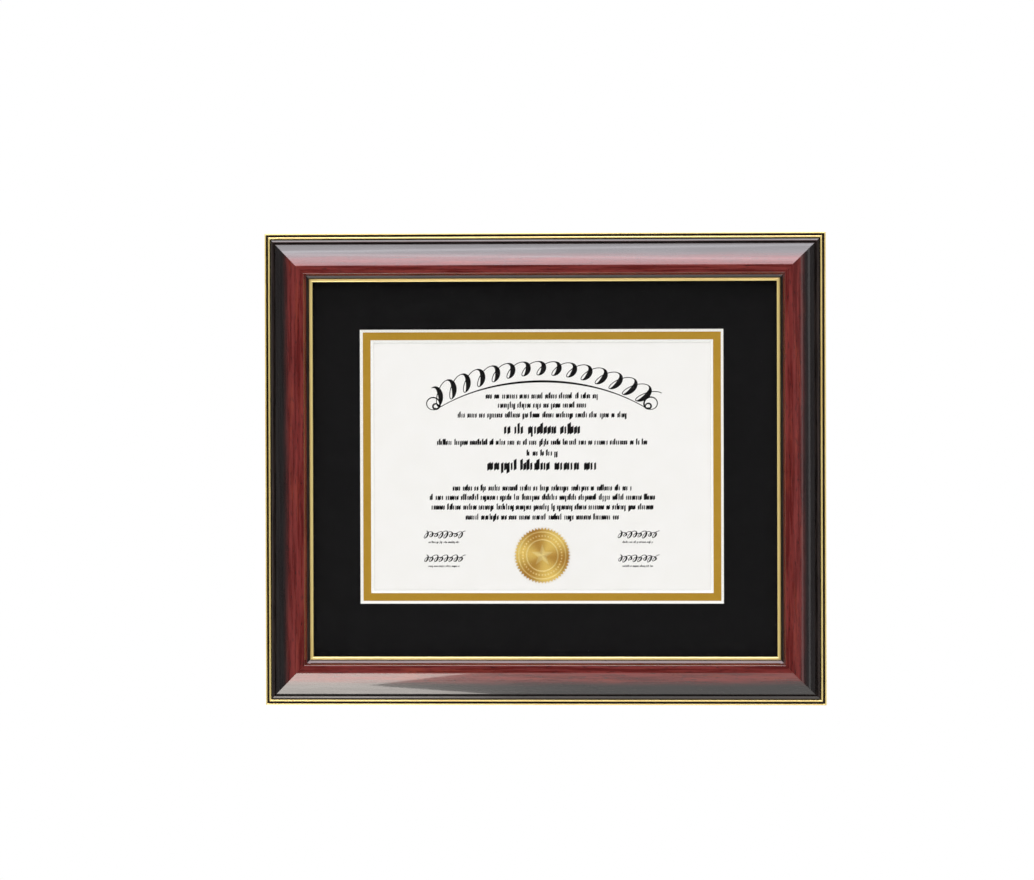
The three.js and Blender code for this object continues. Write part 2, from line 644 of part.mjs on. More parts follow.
const sheets = [
  ['back_panel', rabbetSheet(PANEL_THICKNESS), 'hardboard', sheetDepth.panel],
  ['backing_board', rabbetSheet(BACKING_THICKNESS), 'foamBoard', sheetDepth.backing],
  ['inner_mat', mat(innerWindow), 'goldMat', sheetDepth.innerMat],
  ['outer_mat', mat(outerWindow), 'blackMat', sheetDepth.outerMat],
  ['glazing', rabbetSheet(GLAZING_THICKNESS), 'glass', sheetDepth.glazing],
];
for (const [name, geometry, finish, depth] of sheets) {
  const sheet = piece(name, geometry, finish);
  sheet.position.y = -depth;
  frame.add(sheet);
}

const documentSheet = new THREE.BoxGeometry(documentSize.x, DOCUMENT_THICKNESS, documentSize.y);
const diploma = piece('diploma', documentSheet, 'paper');
diploma.position.set(WINDOW_SHIFT_X, -sheetDepth.document, WINDOW_SHIFT_Z);
const seal = piece('gold_seal', foilSeal(), 'foil');
const sealSeat = sheetDepth.document + DOCUMENT_THICKNESS / 2 + SEAT_GAP;
seal.position.set(WINDOW_SHIFT_X, -sealSeat, WINDOW_SHIFT_Z - SEAL_DROP);
frame.add(diploma, seal);

// The hanger's middle notch becomes the origin
const notchBehind = SEAT_GAP + HANGER_RISE + HANGER_STEEL / 2;
const notchHeight = frameSize.y / 2 - HANGER_INSET - HANGER_WIDTH / 2 + TOOTH_DEPTH;
frame.position.set(0, -notchBehind, -notchHeight);

const diplomaFrame = new THREE.Group();
diplomaFrame.add(frame);

export default diplomaFrame;
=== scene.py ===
"""Looks of a wall-hung diploma frame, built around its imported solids.

Sizes are millimetres unless a name or a comment says otherwise. X runs to the right, Y into the wall, Z up.
"""

import json
import logging
import math
from collections.abc import Mapping, Sequence
from dataclasses import dataclass, field
from enum import Enum, IntEnum

import bpy
import numpy as np
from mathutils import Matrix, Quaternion, Vector


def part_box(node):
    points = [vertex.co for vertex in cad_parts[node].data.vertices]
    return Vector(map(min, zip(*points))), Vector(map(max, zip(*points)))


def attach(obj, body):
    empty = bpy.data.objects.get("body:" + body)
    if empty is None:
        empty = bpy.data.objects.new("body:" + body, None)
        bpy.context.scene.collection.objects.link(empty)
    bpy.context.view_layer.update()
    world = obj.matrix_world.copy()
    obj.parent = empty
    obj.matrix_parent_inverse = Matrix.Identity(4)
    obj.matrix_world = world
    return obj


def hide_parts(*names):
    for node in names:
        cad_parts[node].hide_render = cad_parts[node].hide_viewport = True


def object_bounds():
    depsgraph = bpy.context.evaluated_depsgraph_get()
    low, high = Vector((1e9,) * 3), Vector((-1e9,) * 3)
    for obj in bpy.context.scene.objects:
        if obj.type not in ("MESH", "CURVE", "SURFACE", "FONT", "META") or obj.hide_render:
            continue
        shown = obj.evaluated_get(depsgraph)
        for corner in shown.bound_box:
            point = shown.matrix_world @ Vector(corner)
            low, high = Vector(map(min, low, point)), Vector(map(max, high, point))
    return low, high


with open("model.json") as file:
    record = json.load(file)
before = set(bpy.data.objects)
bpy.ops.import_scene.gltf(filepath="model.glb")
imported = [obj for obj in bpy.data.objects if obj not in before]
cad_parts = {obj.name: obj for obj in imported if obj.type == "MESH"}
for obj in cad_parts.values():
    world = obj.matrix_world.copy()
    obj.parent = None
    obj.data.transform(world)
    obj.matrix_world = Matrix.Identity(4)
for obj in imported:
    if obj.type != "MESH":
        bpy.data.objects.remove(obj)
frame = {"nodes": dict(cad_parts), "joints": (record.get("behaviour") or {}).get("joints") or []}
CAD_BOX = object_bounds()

Array = np.ndarray
Pair = tuple[float, float]
Triple = tuple[float, float, float]
Colour = tuple[float, float, float, float]
Node = bpy.types.Node
Socket = bpy.types.NodeSocket
Tree = bpy.types.NodeTree
Inputs = Mapping | Sequence

LOG = logging.getLogger("diploma_frame")
MM = 0.001
BODY = "frame"
# X and Z of a point: the two directions in the frame's plane.
PLAN = [0, 2]
# A Mix node has its colours at these inputs and the mixed one at this output.
LOWER, UPPER, MIXED = 6, 7, 2
EASED = {"interpolation_type": "SMOOTHSTEP"}
# The third grain axis only tells the rails apart, so a pattern hardly changes along it.
FAR = 1000.0
# Points of a section that are closer than this are one point.
WELD = 1e-6


def linear(tone: str) -> Colour:
    """Turn an sRGB hex tone into a linear colour.

    Args:
        tone: The tone as "#rrggbb".

    Returns:
        Red, green, blue and an alpha of one.
    """
    value = np.array([int(tone[i : i + 2], 16) for i in (1, 3, 5)]) / 255
    curved = ((value + 0.055) / 1.055) ** 2.4
    return (*np.where(value <= 0.04045, value / 12.92, curved).tolist(), 1.0)


def set_inputs(tree: Tree, node: Node, inputs: Inputs) -> None:
    """Set or link inputs of a node that is already there.

    Args:
        tree: The node's tree.
        node: The node.
        inputs: A value or an output socket for each input, by name or number, or for the first in order.
    """
    pairs = inputs.items() if isinstance(inputs, Mapping) else enumerate(inputs)
    for key, value in pairs:
        if isinstance(value, Socket):
            tree.links.new(value, node.inputs[key])
        else:
            node.inputs[key].default_value = value


def add_node(
    tree: Tree, kind: str, inputs: Inputs = (), output: int | str = 0, **settings: object
) -> Socket:
    """Add one node with its settings and links.

    Args:
        tree: The node tree that gets the node.
        kind: The node's type name, without its "ShaderNode".
        inputs: A value or an output socket for each input, by name or number, or for the first in order.
        output: Name or number of the output to give back.
        settings: Values of the node's own properties.

    Returns:
        That output's socket.
    """
    node = tree.nodes.new("ShaderNode" + kind)
    for name, value in settings.items():
        setattr(node, name, value)
    set_inputs(tree, node, inputs)
    return node.outputs[output]


def box_of(node: str) -> tuple[Array, Array]:
    """Give a solid's lowest and highest corner in millimetres.

    Args:
        node: The solid's name.

    Returns:
        The two corners.
    """
    low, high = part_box(node)
    return np.array(low) / MM, np.array(high) / MM


def centre_of(node: str) -> Array:
    """Middle of a solid's box in X and Z."""
    low, high = box_of(node)
    return (low + high)[PLAN] / 2


def at_depth(flat: Array, y: float) -> Array:
    """Put points in X and Z at this Y."""
    return np.insert(flat, 1, y, axis=-1)


def towards(start: Array, stop: Array, reach: float) -> Array:
    """Point at this distance from start on the straight way to stop."""
    return start + reach * (stop - start) / np.linalg.norm(stop - start)


def bezier(handles: Sequence[Sequence[float]], count: int) -> Array:
    """Sample a Bezier curve: the handles weighted by the Bernstein terms C(n, k) t^k (1 - t)^(n - k).

    Args:
        handles: The curve's control points.
        count: How many points to take from t = 0 to t = 1.

    Returns:
        One row per point.
    """
    points = np.asarray(handles, float)
    power = np.arange(len(points))
    order = len(points) - 1
    t = np.linspace(0, 1, count)[:, None]
    binomial = np.array([math.comb(order, k) for k in power])
    return (binomial * t**power * (1 - t) ** (order - power)) @ points


def arc(centre: Sequence[float], radius: float, start: float, stop: float, count: int) -> Array:
    """Sample a circular arc: centre + radius (cos a, sin a).

    Args:
        centre: The circle's middle.
        radius: The circle's radius.
        start: First angle in degrees.
        stop: Last angle in degrees.
        count: How many points to take.

    Returns:
        One row per point.
    """
    angle = np.radians(np.linspace(start, stop, count))
    return np.asarray(centre) + radius * np.stack([np.cos(angle), np.sin(angle)], -1)


def smooth(value: Array, low: float, high: float) -> Array:
    """Ease from 0 at low to 1 at high by 3t^2 - 2t^3."""
    t = np.clip((value - low) / (high - low), 0, 1)
    return t * t * (3 - 2 * t)


def tube_quads(rings: int, points: int, closed: bool = False) -> Array:
    """Join neighbouring closed rings of points into four-sided faces.

    Args:
        rings: How many rings there are.
        points: How many points each ring has.
        closed: Whether the last ring joins the first.

    Returns:
        Four point numbers for each face.
    """
    ring = np.arange(rings if closed else rings - 1)[:, None]
    step = np.arange(points)[None, :]
    after, beside = (ring + 1) % rings, (step + 1) % points
    corners = [ring * points + step, after * points + step, after * points + beside, ring * points + beside]
    return np.stack(np.broadcast_arrays(*corners), -1).reshape(-1, 4)


@dataclass
class Surface:
    """A closed surface.

    Attributes:
        points: One row per vertex, in millimetres.
        quads: Vertex numbers of the four-sided faces.
        caps: Vertex numbers of the faces with more sides.
        finish: Finish number of each face, the caps last, or one for all.
        marks: Values at the vertices that a finish reads, by name.
    """

    points: Array
    quads: Array
    caps: Sequence[Array] = ()
    finish: Array | int = 0
    marks: Mapping[str, Array] = field(default_factory=dict)

    def volume(self) -> float:
        """Measure the enclosed volume: a sixth of the sum of a . (b x c) over the faces' triangles.

        Returns:
            The volume, which is negative where the faces point inwards.
        """
        corners = self.points[self.quads]
        fans = [corners[:, [0, 1, 2]], corners[:, [0, 2, 3]]]
        for cap in self.caps:
            loop = self.points[cap]
            first = np.broadcast_to(loop[0], loop[2:].shape)
            fans.append(np.stack([first, loop[1:-1], loop[2:]], 1))
        triangles = np.concatenate(fans)
        return float(np.einsum("ij,ij->", triangles[:, 0], np.cross(triangles[:, 1], triangles[:, 2])) / 6)

    def outward_faces(self) -> list[list[int]]:
        """List every face, turned round if the enclosed volume came out negative."""
        turn = 1 if self.volume() > 0 else -1
        return self.quads[:, ::turn].tolist() + [cap[::turn].tolist() for cap in self.caps]


def joined(surfaces: Sequence[Surface]) -> Surface:
    """Put closed surfaces without marks into one, each turned outwards first.

    Args:
        surfaces: The surfaces, made of quads alone.

    Returns:
        One surface that holds them all.
    """
    starts = np.cumsum([0] + [len(s.points) for s in surfaces])
    quads = [s.quads[:, :: 1 if s.volume() > 0 else -1] + start for s, start in zip(surfaces, starts)]
    return Surface(np.concatenate([s.points for s in surfaces]), np.concatenate(quads))


def prism(outlines: Array, back: float, front: float) -> Surface:
    """Raise flat four-sided outlines into thin blocks.

    Each outline in X and Z is repeated at Y = back and at Y = front, and six faces close the block.

    Args:
        outlines: An array of outlines by four corners by X and Z.
        back: Y of the rear faces.
        front: Y of the front faces.

    Returns:
        All the blocks as one surface.
    """
    corners = np.concatenate([at_depth(outlines, back), at_depth(outlines, front)], 1)
    faces = [(0, 1, 2, 3), (7, 6, 5, 4), (0, 4, 5, 1), (1, 5, 6, 2), (2, 6, 7, 3), (3, 7, 4, 0)]
    starts = corners.shape[1] * np.arange(len(corners))[:, None, None]
    return Surface(corners.reshape(-1, 3), (np.array(faces) + starts).reshape(-1, 4))


def ribbon(path: Array, half_width: Array, back: float, front: float) -> Surface:
    """Carry a flat pen stroke along a path.

    At each point the stroke reaches half_width to both sides along the path's normal, at Y = back and at
    Y = front, so that the four edges make a thin closed band.

    Args:
        path: Points in X and Z.
        half_width: Half the stroke's width at each point.
        back: Y of the rear face.
        front: Y of the front face.

    Returns:
        The stroke with both ends closed.
    """
    tangent = np.gradient(path, axis=0)
    tangent /= np.linalg.norm(tangent, axis=1, keepdims=True)
    side = np.stack([-tangent[:, 1], tangent[:, 0]], -1) * np.asarray(half_width)[:, None]
    edges = [(path + side, back), (path - side, back), (path - side, front), (path + side, front)]
    rings = np.stack([at_depth(line, y) for line, y in edges], 1)
    first = np.arange(len(edges))
    ends = np.array([first[::-1], first + len(edges) * (len(path) - 1)])
    quads = np.concatenate([tube_quads(len(path), len(edges)), ends])
    return Surface(rings.reshape(-1, 3), quads)


def turned(radius: Array, along: Array, count: int) -> tuple[Array, Array]:
    """Turn a profile about the Y axis: (r sin a, y, r cos a).

    Args:
        radius: Distance from the axis at each ring.
        along: Y at each ring.
        count: How many points go round.

    Returns:
        An array of rings by points by three, and the angles.
    """
    angle = np.arange(count) * 2 * np.pi / count
    around = np.broadcast_to(radius, (count, len(radius))).T
    y = np.broadcast_to(along, (count, len(along))).T
    return np.stack([around * np.sin(angle), y, around * np.cos(angle)], -1), angle


def capped_tube(rings: Array) -> Surface:
    """Close a stack of rings with a cap at each end.

    Args:
        rings: An array of rings by points by three.

    Returns:
        The closed surface.
    """
    count, points = rings.shape[:2]
    caps = [np.arange(points)[::-1], (count - 1) * points + np.arange(points)]
    return Surface(rings.reshape(-1, 3), tube_quads(count, points), caps)


def add_piece(
    name: str,
    surface: Surface,
    finishes: Sequence["Finish"],
    replaces: Sequence[str] = (),
    body: str = BODY,
    crease: float = 35.0,
) -> None:
    """Put a surface into the scene as a piece of the object.

    Args:
        name: The piece's name.
        surface: Its shape.
        finishes: Its finishes, in the order of the surface's finish numbers.
        replaces: Solids that it stands for.
        body: The body that it moves with.
        crease: Faces that meet at more than this angle in degrees keep a sharp edge.
    """
    mesh = bpy.data.meshes.new(name)
    faces = surface.outward_faces()
    mesh.from_pydata((surface.points * MM).tolist(), [], faces)
    mesh.polygons.foreach_set("material_index", np.broadcast_to(surface.finish, len(faces)).astype(np.int32))
    for mark, values in surface.marks.items():
        kind, key = ("FLOAT", "value") if values.ndim == 1 else ("FLOAT_VECTOR", "vector")
        mesh.attributes.new(mark, kind, "POINT").data.foreach_set(key, values.astype(np.float32).ravel())
    for finish in finishes:
        mesh.materials.append(finish.material())
    mesh.shade_smooth()
    mesh.set_sharp_from_angle(angle=math.radians(crease))
    mesh.update()
    piece = bpy.data.objects.new(name, mesh)
    bpy.context.scene.collection.objects.link(piece)
    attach(piece, body)
    if replaces:
        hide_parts(*replaces)
    LOG.info("%s: %d faces on %s", name, len(faces), body)


class Layer:
    """Something that varies over a piece."""

    def lay(self, tree: Tree) -> Socket:
        """Lay it over the piece.

        Args:
            tree: The material's node tree.

        Returns:
            Its value at each place.
        """
        raise NotImplementedError


@dataclass(frozen=True)
class Pattern(Layer):
    """Cloudy noise of a real size, by the piece's own coordinates.

    Attributes:
        size: Feature size along the three axes.
        span: The two noise values that become those of share, or nothing to leave the noise as it is.
        share: What they become.
        detail: Octaves of finer noise.
        weight: Weight of those octaves.
    """

    size: Triple
    span: Pair | None = None
    share: Pair = (0.0, 1.0)
    detail: float = 3.0
    weight: float = 0.55

    def place(self, tree: Tree) -> Socket:
        """Coordinates of the piece itself."""
        return add_node(tree, "TexCoord", output="Object")

    def lay(self, tree: Tree) -> Socket:
        """Scale the noise to its size and ease it over its span.

        Args:
            tree: The material's node tree.

        Returns:
            The share at each place, or the noise from 0 to 1 with its middle near 0.5.
        """
        scale = tuple(1 / (size * MM) for size in self.size)
        mapped = add_node(tree, "Mapping", {"Vector": self.place(tree), "Scale": scale})
        cloud = {"Vector": mapped, "Scale": 1.0, "Detail": self.detail, "Roughness": self.weight}
        value = add_node(tree, "TexNoise", cloud)
        if self.span is None:
            return value
        return add_node(tree, "MapRange", [value, *self.span, *self.share], **EASED)


@dataclass(frozen=True)
class Grain(Pattern):
    """A pattern with its size along a rail's grain, across it and from rail to rail."""

    def place(self, tree: Tree) -> Socket:
        """Coordinates that were marked along the rail."""
        return add_node(tree, "Attribute", output="Vector", attribute_name="grain")


@dataclass(frozen=True)
class Mark(Layer):
    """Values that were marked on a mesh under this name."""

    name: str

    def lay(self, tree: Tree) -> Socket:
        """Read the marked values."""
        return add_node(tree, "Attribute", output="Fac", attribute_name=self.name)


@dataclass(frozen=True)
class Fog(Layer):
    """Sprayed colour that thins out from a rail's outer side inwards.

    Attributes:
        drift: Pattern of its uneven edge.
        reach: How far that shifts the edge.
        edge: Insets between which it thins out.
        curve: Power that keeps its outer part dense.
    """

    drift: Pattern = Grain((45.0, 9.0, FAR), detail=2.0)
    reach: float = 2.6
    edge: Pair = (12.6, 21.4)
    curve: float = 2.0

    def lay(self, tree: Tree) -> Socket:
        """Thin the fog out with the inset.

        Args:
            tree: The material's node tree.

        Returns:
            How much of it lies at each place.
        """
        shift = [self.drift.lay(tree), self.reach, Mark("inset").lay(tree)]
        inset = add_node(tree, "Math", shift, operation="MULTIPLY_ADD")
        edge = [stop + self.reach / 2 for stop in self.edge]
        clear = add_node(tree, "MapRange", [inset, *edge], **EASED)
        bare = add_node(tree, "Math", [clear, self.curve], operation="POWER")
        return add_node(tree, "Math", [1.0, bare], operation="SUBTRACT")


@dataclass(frozen=True)
class Mottle(Layer):
    """Fibres that show where soft patches are dense.

    Attributes:
        fibres: Pattern of the fibres.
        amount: How much of them shows at most.
        patches: Pattern of the patches.
        span: Products of both between which they come in.
    """

    fibres: Pattern
    amount: float
    patches: Pattern = Pattern((14.0, 14.0, 11.0), detail=2.0)
    span: Pair = (0.12, 0.42)

    def lay(self, tree: Tree) -> Socket:
        """Multiply both patterns and ease the product over its span.

        Args:
            tree: The material's node tree.

        Returns:
            How much of the fibres shows at each place.
        """
        both = [self.fibres.lay(tree), self.patches.lay(tree)]
        product = add_node(tree, "Math", both, operation="MULTIPLY")
        return add_node(tree, "MapRange", [product, *self.span, 0.0, self.amount], **EASED)


@dataclass(frozen=True)
class Weave(Layer):
    """Print of a wire screen with this pitch."""

    pitch: float

    def lay(self, tree: Tree) -> Socket:
        """Multiply two sines, across and up, that have the pitch as their period.

        Args:
            tree: The material's node tree.

        Returns:
            The print's height from 0 to 1.
        """
        turn = 2 * math.pi / (self.pitch * MM)
        place = add_node(tree, "TexCoord", output="Object")
        scaled = add_node(tree, "VectorMath", [place, (turn, 0.0, turn)], operation="MULTIPLY")
        axes = add_node(tree, "SeparateXYZ", [scaled]).node.outputs
        waves = [add_node(tree, "Math", [axes[name]], operation="SINE") for name in ("X", "Z")]
        weave = add_node(tree, "Math", waves, operation="MULTIPLY")
        return add_node(tree, "MapRange", [weave, -1.0, 1.0], **EASED)


Tones = tuple[tuple[Layer, str], ...]
Relief = tuple[tuple[Layer, float], ...]
Sockets = tuple[tuple[str, float], ...]


@dataclass(frozen=True)
class Finish:
    """A surface finish that becomes one material.

    Attributes:
        name: The material's name.
        base: Its lowest tone.
        tones: What varies over it, each with the tone that it lays over those before.
        rough: Roughness at both ends of rough_span, or one number twice where it is even.
        relief: What stands out, each with its height, one over another.
        sockets: Values of the shader's other sockets.
        rough_from: What the roughness follows, or nothing for the first of the tones.
        rough_span: Its values at both ends.
        normals: The sockets that get the relief.
    """

    name: str
    base: str
    tones: Tones
    rough: Pair
    relief: Relief = ()
    sockets: Sockets = ()
    rough_from: Layer | None = None
    rough_span: Pair = (0.0, 1.0)
    normals: tuple[str, ...] = ("Normal",)

    def shade(self, tree: Tree, shader: Node) -> None:
        """Feed the shader: tones laid over each other, an eased roughness and stacked relief.

        Args:
            tree: The material's node tree.
            shader: Its Principled shader.
        """
        shares = [layer.lay(tree) for layer, _ in self.tones]
        shown = linear(self.base)
        for share, (_, tone) in zip(shares, self.tones):
            mixed = {0: share, LOWER: shown, UPPER: linear(tone)}
            shown = add_node(tree, "Mix", mixed, MIXED, data_type="RGBA")
        rough, other = self.rough
        if rough != other:
            leading = self.rough_from.lay(tree) if self.rough_from else shares[0]
            rough = add_node(tree, "MapRange", [leading, *self.rough_span, *self.rough], **EASED)
        inputs = {"Base Color": shown, "Roughness": rough, **dict(self.sockets)}
        under = {}
        for layer, height in self.relief:
            lie = add_node(tree, "Bump", {"Height": layer.lay(tree), "Distance": height * MM, **under})
            under = {"Normal": lie}
            inputs.update(dict.fromkeys(self.normals, lie))
        set_inputs(tree, shader, inputs)

    def material(self) -> bpy.types.Material:
        """Make the finish's material, or take the one that is already there.

        Returns:
            The material.
        """
        made = bpy.data.materials.get(self.name)
        if made:
            return made
        material = bpy.data.materials.new(self.name)
        material.use_nodes = True
        self.shade(material.node_tree, material.node_tree.nodes["Principled BSDF"])
        return material


@dataclass(frozen=True)
class SprayedLacquer(Finish):
    """Mahogany-stained wood, fogged black along its outer half and flooded with clear gloss lacquer.

    The eye sees red ribbons that sink into black, under a hard wet shine with faint streaks along the grain.
    The tones are ribbons, flames, pores and fog. Real pores are too fine to show, so they are drawn as
    coarse as they need.
    """

    name: str = "lacquer_mahogany_black_sprayed"
    base: str = "#56110f"
    tones: Tones = (
        (Grain((55.0, 2.4, FAR), (0.32, 0.68), detail=5.0, weight=0.6), "#7f2622"),
        (Grain((38.0, 4.5, FAR), (0.5, 0.8), (0.0, 0.6)), "#903724"),
        (Grain((6.5, 1.1, FAR), (0.56, 0.72), (0.0, 0.7), detail=2.0), "#380d0c"),
        (Fog(), "#181314"),
    )
    rough: Pair = (0.24, 0.34)
    relief: Relief = (
        (Grain((160.0, 1.5, FAR), detail=4.0), 0.006),
        (Grain((3.2, 2.6, FAR), detail=1.0), 0.004),
    )
    sockets: Sockets = (("IOR", 1.5), ("Coat Weight", 1.0), ("Coat Roughness", 0.04), ("Coat IOR", 1.52))
    normals: tuple[str, ...] = ("Normal", "Coat Normal")


@dataclass(frozen=True)
class BlackLacquer(Finish):
    """Black lacquer brushed into the grooves and over the cushion: near black with a bright wet shine.

    It is browner where it is worn. The marks of the brush's hairs are too fine to show, so its streaks are
    drawn as coarse as they need.
    """

    name: str = "lacquer_black_brushed"
    base: str = "#170f0d"
    tones: Tones = ((Grain((30.0, 1.2, FAR), (0.3, 0.75)), "#2c1e19"),)
    rough: Pair = (0.25, 0.38)
    relief: Relief = ((Grain((90.0, 0.8, FAR)), 0.004),)
    sockets: Sockets = (("IOR", 1.5), ("Coat Weight", 1.0), ("Coat Roughness", 0.06), ("Coat IOR", 1.52))
    normals: tuple[str, ...] = ("Normal", "Coat Normal")


# Where gilding was rubbed thin.
RUBBED = Grain((60.0, 2.4, FAR), (0.5, 0.8), (0.0, 0.8), detail=4.0)


@dataclass(frozen=True)
class GiltLeaf(Finish):
    """Bronze-powder gilding: pale gold flakes in a clear binder, even and softly bright.

    It is wiped along the beads, and brushed thinner and deeper in tone on the outer side. Single flakes are
    too fine to show, so their streaks are drawn as coarse as they need.
    """

    name: str = "gilding_bronze_powder_wiped"
    base: str = "#ffe795"
    tones: Tones = ((RUBBED, "#e9c56d"),)
    rough: Pair = (0.3, 0.42)
    relief: Relief = ((Grain((14.0, 0.5, FAR)), 0.002),)
    sockets: Sockets = (("Metallic", 0.4), ("Coat Weight", 1.0), ("Coat Roughness", 0.12), ("Coat IOR", 1.5))


@dataclass(frozen=True)
class PlanedWood(Finish):
    """Light joinery wood as it leaves the planer: tan bands and darker flecks along the grain, dull.

    The flecks are sunken pores. Real ones are too fine to show, so they are drawn as coarse as they need.
    """

    name: str = "poplar_planed_bare"
    base: str = "#d3b78c"
    tones: Tones = (
        (Grain((190.0, 3.4, FAR), (0.3, 0.72), detail=5.0, weight=0.62), "#a98456"),
        (Grain((7.0, 0.4, FAR), (0.58, 0.72), (0.0, 0.55), detail=2.0), "#7d5c38"),
    )
    rough: Pair = (0.62, 0.78)
    relief: Relief = ((Grain((7.0, 0.4, FAR), (0.58, 0.72), detail=2.0), -0.03),)
    sockets: Sockets = (("IOR", 1.5),)


@dataclass(frozen=True)
class PrintedInk(Finish):
    """Black offset ink on paper: flat, slightly uneven where the paper drank it.

    Real thin spots are as small as the paper's fibres, and these are drawn as coarse as they need to show.
    """

    name: str = "ink_black_offset"
    base: str = "#060506"
    tones: Tones = ((Pattern((1.1, 1.1, 1.1), (0.4, 0.75)), "#141213"),)
    rough: Pair = (0.6, 0.6)
    sockets: Sockets = (("IOR", 1.5), ("Specular IOR Level", 0.15))


# The paper's tooth as it shows through foil, drawn as coarse as it needs to show.
CRINKLE = Pattern((0.9, 0.9, 0.9))


@dataclass(frozen=True)
class EmbossedFoil(Finish):
    """Gold foil pressed on paper, its colour partly painted light.

    Yellow satin is painted brown and bright by turns round the disc, as light on spun foil would fall.
    Painted highlights make the ridges brighter than the hollows, which are in painted shade, and a crinkle
    scatters the real shine.
    """

    name: str = "foil_gold_embossed_painted_sheen"
    # Painted light: the brown base is the foil in painted shade, and the two marks lay painted highlights
    # over it.
    base: str = "#ad771f"
    tones: Tones = ((Mark("painted_sheen"), "#f3d06c"), (Mark("relief"), "#fff0a8"))
    rough: Pair = (0.34, 0.5)
    relief: Relief = ((CRINKLE, 0.05),)
    sockets: Sockets = (("Metallic", 0.4),)
    rough_from: Layer | None = CRINKLE
    rough_span: Pair = (0.3, 0.7)


# Where plated steel lost its shine.
TARNISH = Pattern((7.0, 7.0, 7.0), (0.35, 0.85), detail=2.0)
SMALL_TARNISH = Pattern((1.5, 1.5, 1.5), (0.35, 0.85), detail=2.0)


@dataclass(frozen=True)
class PlatedSteel(Finish):
    """Stamped or drawn steel with a thin plating: bright grey or brassy metal, dulled by handling.

    Real tool marks are too fine to show, so they are drawn as coarse as they need.
    """

    rough: Pair = (0.3, 0.38)
    relief: Relief = ((Pattern((5.0, 5.0, 0.25), detail=2.0), 0.006),)
    sockets: Sockets = (("Metallic", 1.0),)


@dataclass(frozen=True)
class MouldedRubber(Finish):
    """Moulded black rubber: dark grey and dull, with a dusty bloom.

    Its grain is too fine to show, so it is drawn as coarse as it needs.
    """

    name: str = "rubber_black_moulded"
    base: str = "#232324"
    tones: Tones = ((Pattern((2.2, 2.2, 2.2), (0.45, 0.8), detail=4.0), "#4a4947"),)
    rough: Pair = (0.62, 0.8)
    relief: Relief = ((Pattern((0.4, 0.4, 0.4)), 0.02),)
    sockets: Sockets = (("IOR", 1.52),)


@dataclass(frozen=True)
class ClearSheet(Finish):
    """Clear float glass or film: it shows what is behind it and mirrors only what is bright.

    The faint unevenness of its surface softens the mirror a little.
    """

    name: str = "glass_clear_float"
    base: str = "#fdfefe"
    tones: Tones = ()
    rough: Pair = (0.0, 0.02)
    sockets: Sockets = (("IOR", 1.5), ("Transmission Weight", 1.0))
    rough_from: Layer | None = Pattern((60.0, 60.0, 60.0))
    rough_span: Pair = (0.3, 0.7)

    def shade(self, tree: Tree, shader: Node) -> None:
        """Feed the shader, and let shadow and bounce rays pass so that the sheets behind are lit.

        Args:
            tree: The material's node tree.
            shader: Its Principled shader.
        """
        super().shade(tree, shader)
        path = add_node(tree, "LightPath").node.outputs
        rays = [path["Is Shadow Ray"], path["Is Diffuse Ray"]]
        passing = add_node(tree, "Math", rays, operation="MAXIMUM")
        open_air = add_node(tree, "BsdfTransparent")
        mixed = add_node(tree, "MixShader", [passing, shader.outputs[0], open_air])
        set_inputs(tree, tree.nodes["Material Output"], {"Surface": mixed})


def board(
    name: str,
    tone: str,
    mottle: str,
    fibre: Triple = (0.9, 0.5, 0.7),
    amount: float = 0.5,
    depth: float = 0.012,
    rough: float = 0.85,
    gloss: float = 0.3,
    screen: float = 0.0,
) -> Finish:
    """Finish paper, board or hardboard: one colour with soft mottling and a felted surface.

    Args:
        name: The material's name.
        tone: Its colour.
        mottle: The colour of its thicker fibres.
        fibre: Size of the fibres, which are too fine to show and so are drawn as coarse as they need.
        amount: How much of the second colour shows.
        depth: Height of the fibres.
        rough: Mean roughness.
        gloss: Specular level.
        screen: Pitch of a pressed wire screen, four times as deep as the fibres, or 0 for none.

    Returns:
        The finish.
    """
    change, screen_depth = 0.05, 4 * depth
    fibres = Pattern(fibre, weight=0.65)
    relief = [(fibres, depth)]
    if screen:
        relief.append((Weave(screen), screen_depth))
    return Finish(
        name,
        tone,
        tones=((Mottle(fibres, amount), mottle),),
        rough=(rough - change, rough + change),
        relief=tuple(relief),
        sockets=(("IOR", 1.5), ("Specular IOR Level", gloss)),
        rough_from=fibres,
        rough_span=(0.3, 0.7),
    )


